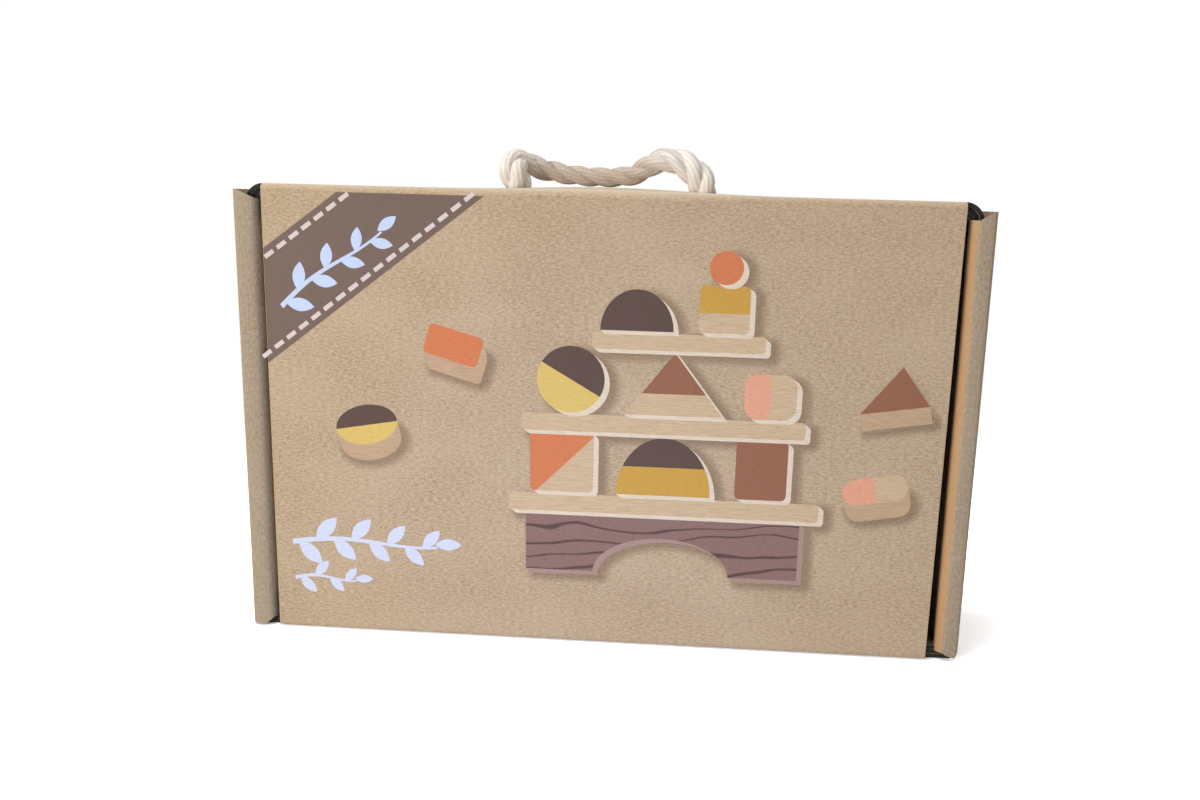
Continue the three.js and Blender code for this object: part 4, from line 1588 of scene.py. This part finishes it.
def set_lamps():
    for name, (place, target, size, power, colour) in LAMPS.items():
        lamp = bpy.data.lights.new(name, "AREA")
        lamp.shape, lamp.size, lamp.energy, lamp.color = "DISK", size, power, colour
        holder = new_object(name, lamp)
        holder.visible_camera = False
        holder.location = place
        holder.rotation_euler = (Vector(target) - Vector(place)).to_track_quat("-Z", "Y").to_euler()


def build_stage():
    """The camera at the photograph's angle, a pale floor, soft light from the left and a glow from below."""
    scene = bpy.context.scene
    scene.view_settings.view_transform = "Standard"
    set_camera(scene)
    set_floor()
    set_world(scene)
    set_lamps()


# Operators


class BALANCE_OT_stage(bpy.types.Operator):
    """Set the camera, the floor and the lights"""

    bl_idname = "balance.stage"
    bl_label = "Stage"

    def execute(self, context):
        build_stage()
        return {"FINISHED"}


class BALANCE_OT_rope(bpy.types.Operator):
    """Wind the rope handle and its knots"""

    bl_idname = "balance.rope"
    bl_label = "Rope Handle"

    def execute(self, context):
        build_rope(context.scene.balance_carton, context.scene.balance_rope)
        return {"FINISHED"}


class BALANCE_OT_tray(bpy.types.Operator):
    """Fold the carton's back, walls, rolled sides and corners"""

    bl_idname = "balance.tray"
    bl_label = "Carton Tray"

    def execute(self, context):
        carton = context.scene.balance_carton
        build_back(carton)
        build_walls(carton)
        build_rolls(carton)
        build_corner_flaps(carton)
        return {"FINISHED"}


class BALANCE_OT_lid(bpy.types.Operator):
    """Fold the lid with its tuck flap and ears"""

    bl_idname = "balance.lid"
    bl_label = "Carton Lid"

    def execute(self, context):
        build_lid(context.scene.balance_carton)
        build_flaps(context.scene.balance_carton)
        return {"FINISHED"}


class BALANCE_OT_print(bpy.types.Operator):
    """Print the corner band and the block picture on the lid"""

    bl_idname = "balance.print"
    bl_label = "Printed Front"

    def execute(self, context):
        build_picture(context.scene.balance_carton, context.scene.balance_print)
        build_stitches(context.scene.balance_carton, context.scene.balance_print)
        return {"FINISHED"}


class BALANCE_OT_game(bpy.types.Operator):
    """Finish the wooden rocker, animal and nuts"""

    bl_idname = "balance.game"
    bl_label = "Wooden Game"

    def execute(self, context):
        build_game(context.scene.balance_game)
        build_paint(context.scene.balance_game)
        build_nuts(context.scene.balance_game)
        return {"FINISHED"}


class BALANCE_PT_panel(bpy.types.Panel):
    """Sidebar panel with the sizes and the building steps"""

    bl_idname = "BALANCE_PT_panel"
    bl_label = "Balance Game"
    bl_space_type = "VIEW_3D"
    bl_region_type = "UI"
    bl_category = "Balance Game"

    def draw(self, context):
        layout = self.layout
        for group in GROUPS:
            settings = getattr(context.scene, group)
            for key in settings.bl_rna.properties.keys():
                if key not in ("rna_type", "name"):
                    layout.prop(settings, key)
        for step in STEPS:
            layout.operator(step.bl_idname)


STEPS = (
    BALANCE_OT_stage,
    BALANCE_OT_rope,
    BALANCE_OT_tray,
    BALANCE_OT_lid,
    BALANCE_OT_print,
    BALANCE_OT_game,
)
GROUPS = {
    "balance_carton": CartonSettings,
    "balance_rope": RopeSettings,
    "balance_print": PrintSettings,
    "balance_game": GameSettings,
    "balance_colours": ColourSettings,
}


def register():
    for item in (*GROUPS.values(), *STEPS, BALANCE_PT_panel):
        bpy.utils.register_class(item)
    for name, group in GROUPS.items():
        setattr(bpy.types.Scene, name, PointerProperty(type=group))


def unregister():
    for name in GROUPS:
        delattr(bpy.types.Scene, name)
    for item in reversed((*GROUPS.values(), *STEPS, BALANCE_PT_panel)):
        bpy.utils.unregister_class(item)


def main():
    register()
    for step in STEPS:
        area, verb = step.bl_idname.split(".")
        getattr(getattr(bpy.ops, area), verb)()


if __name__ == "__main__":
    main()
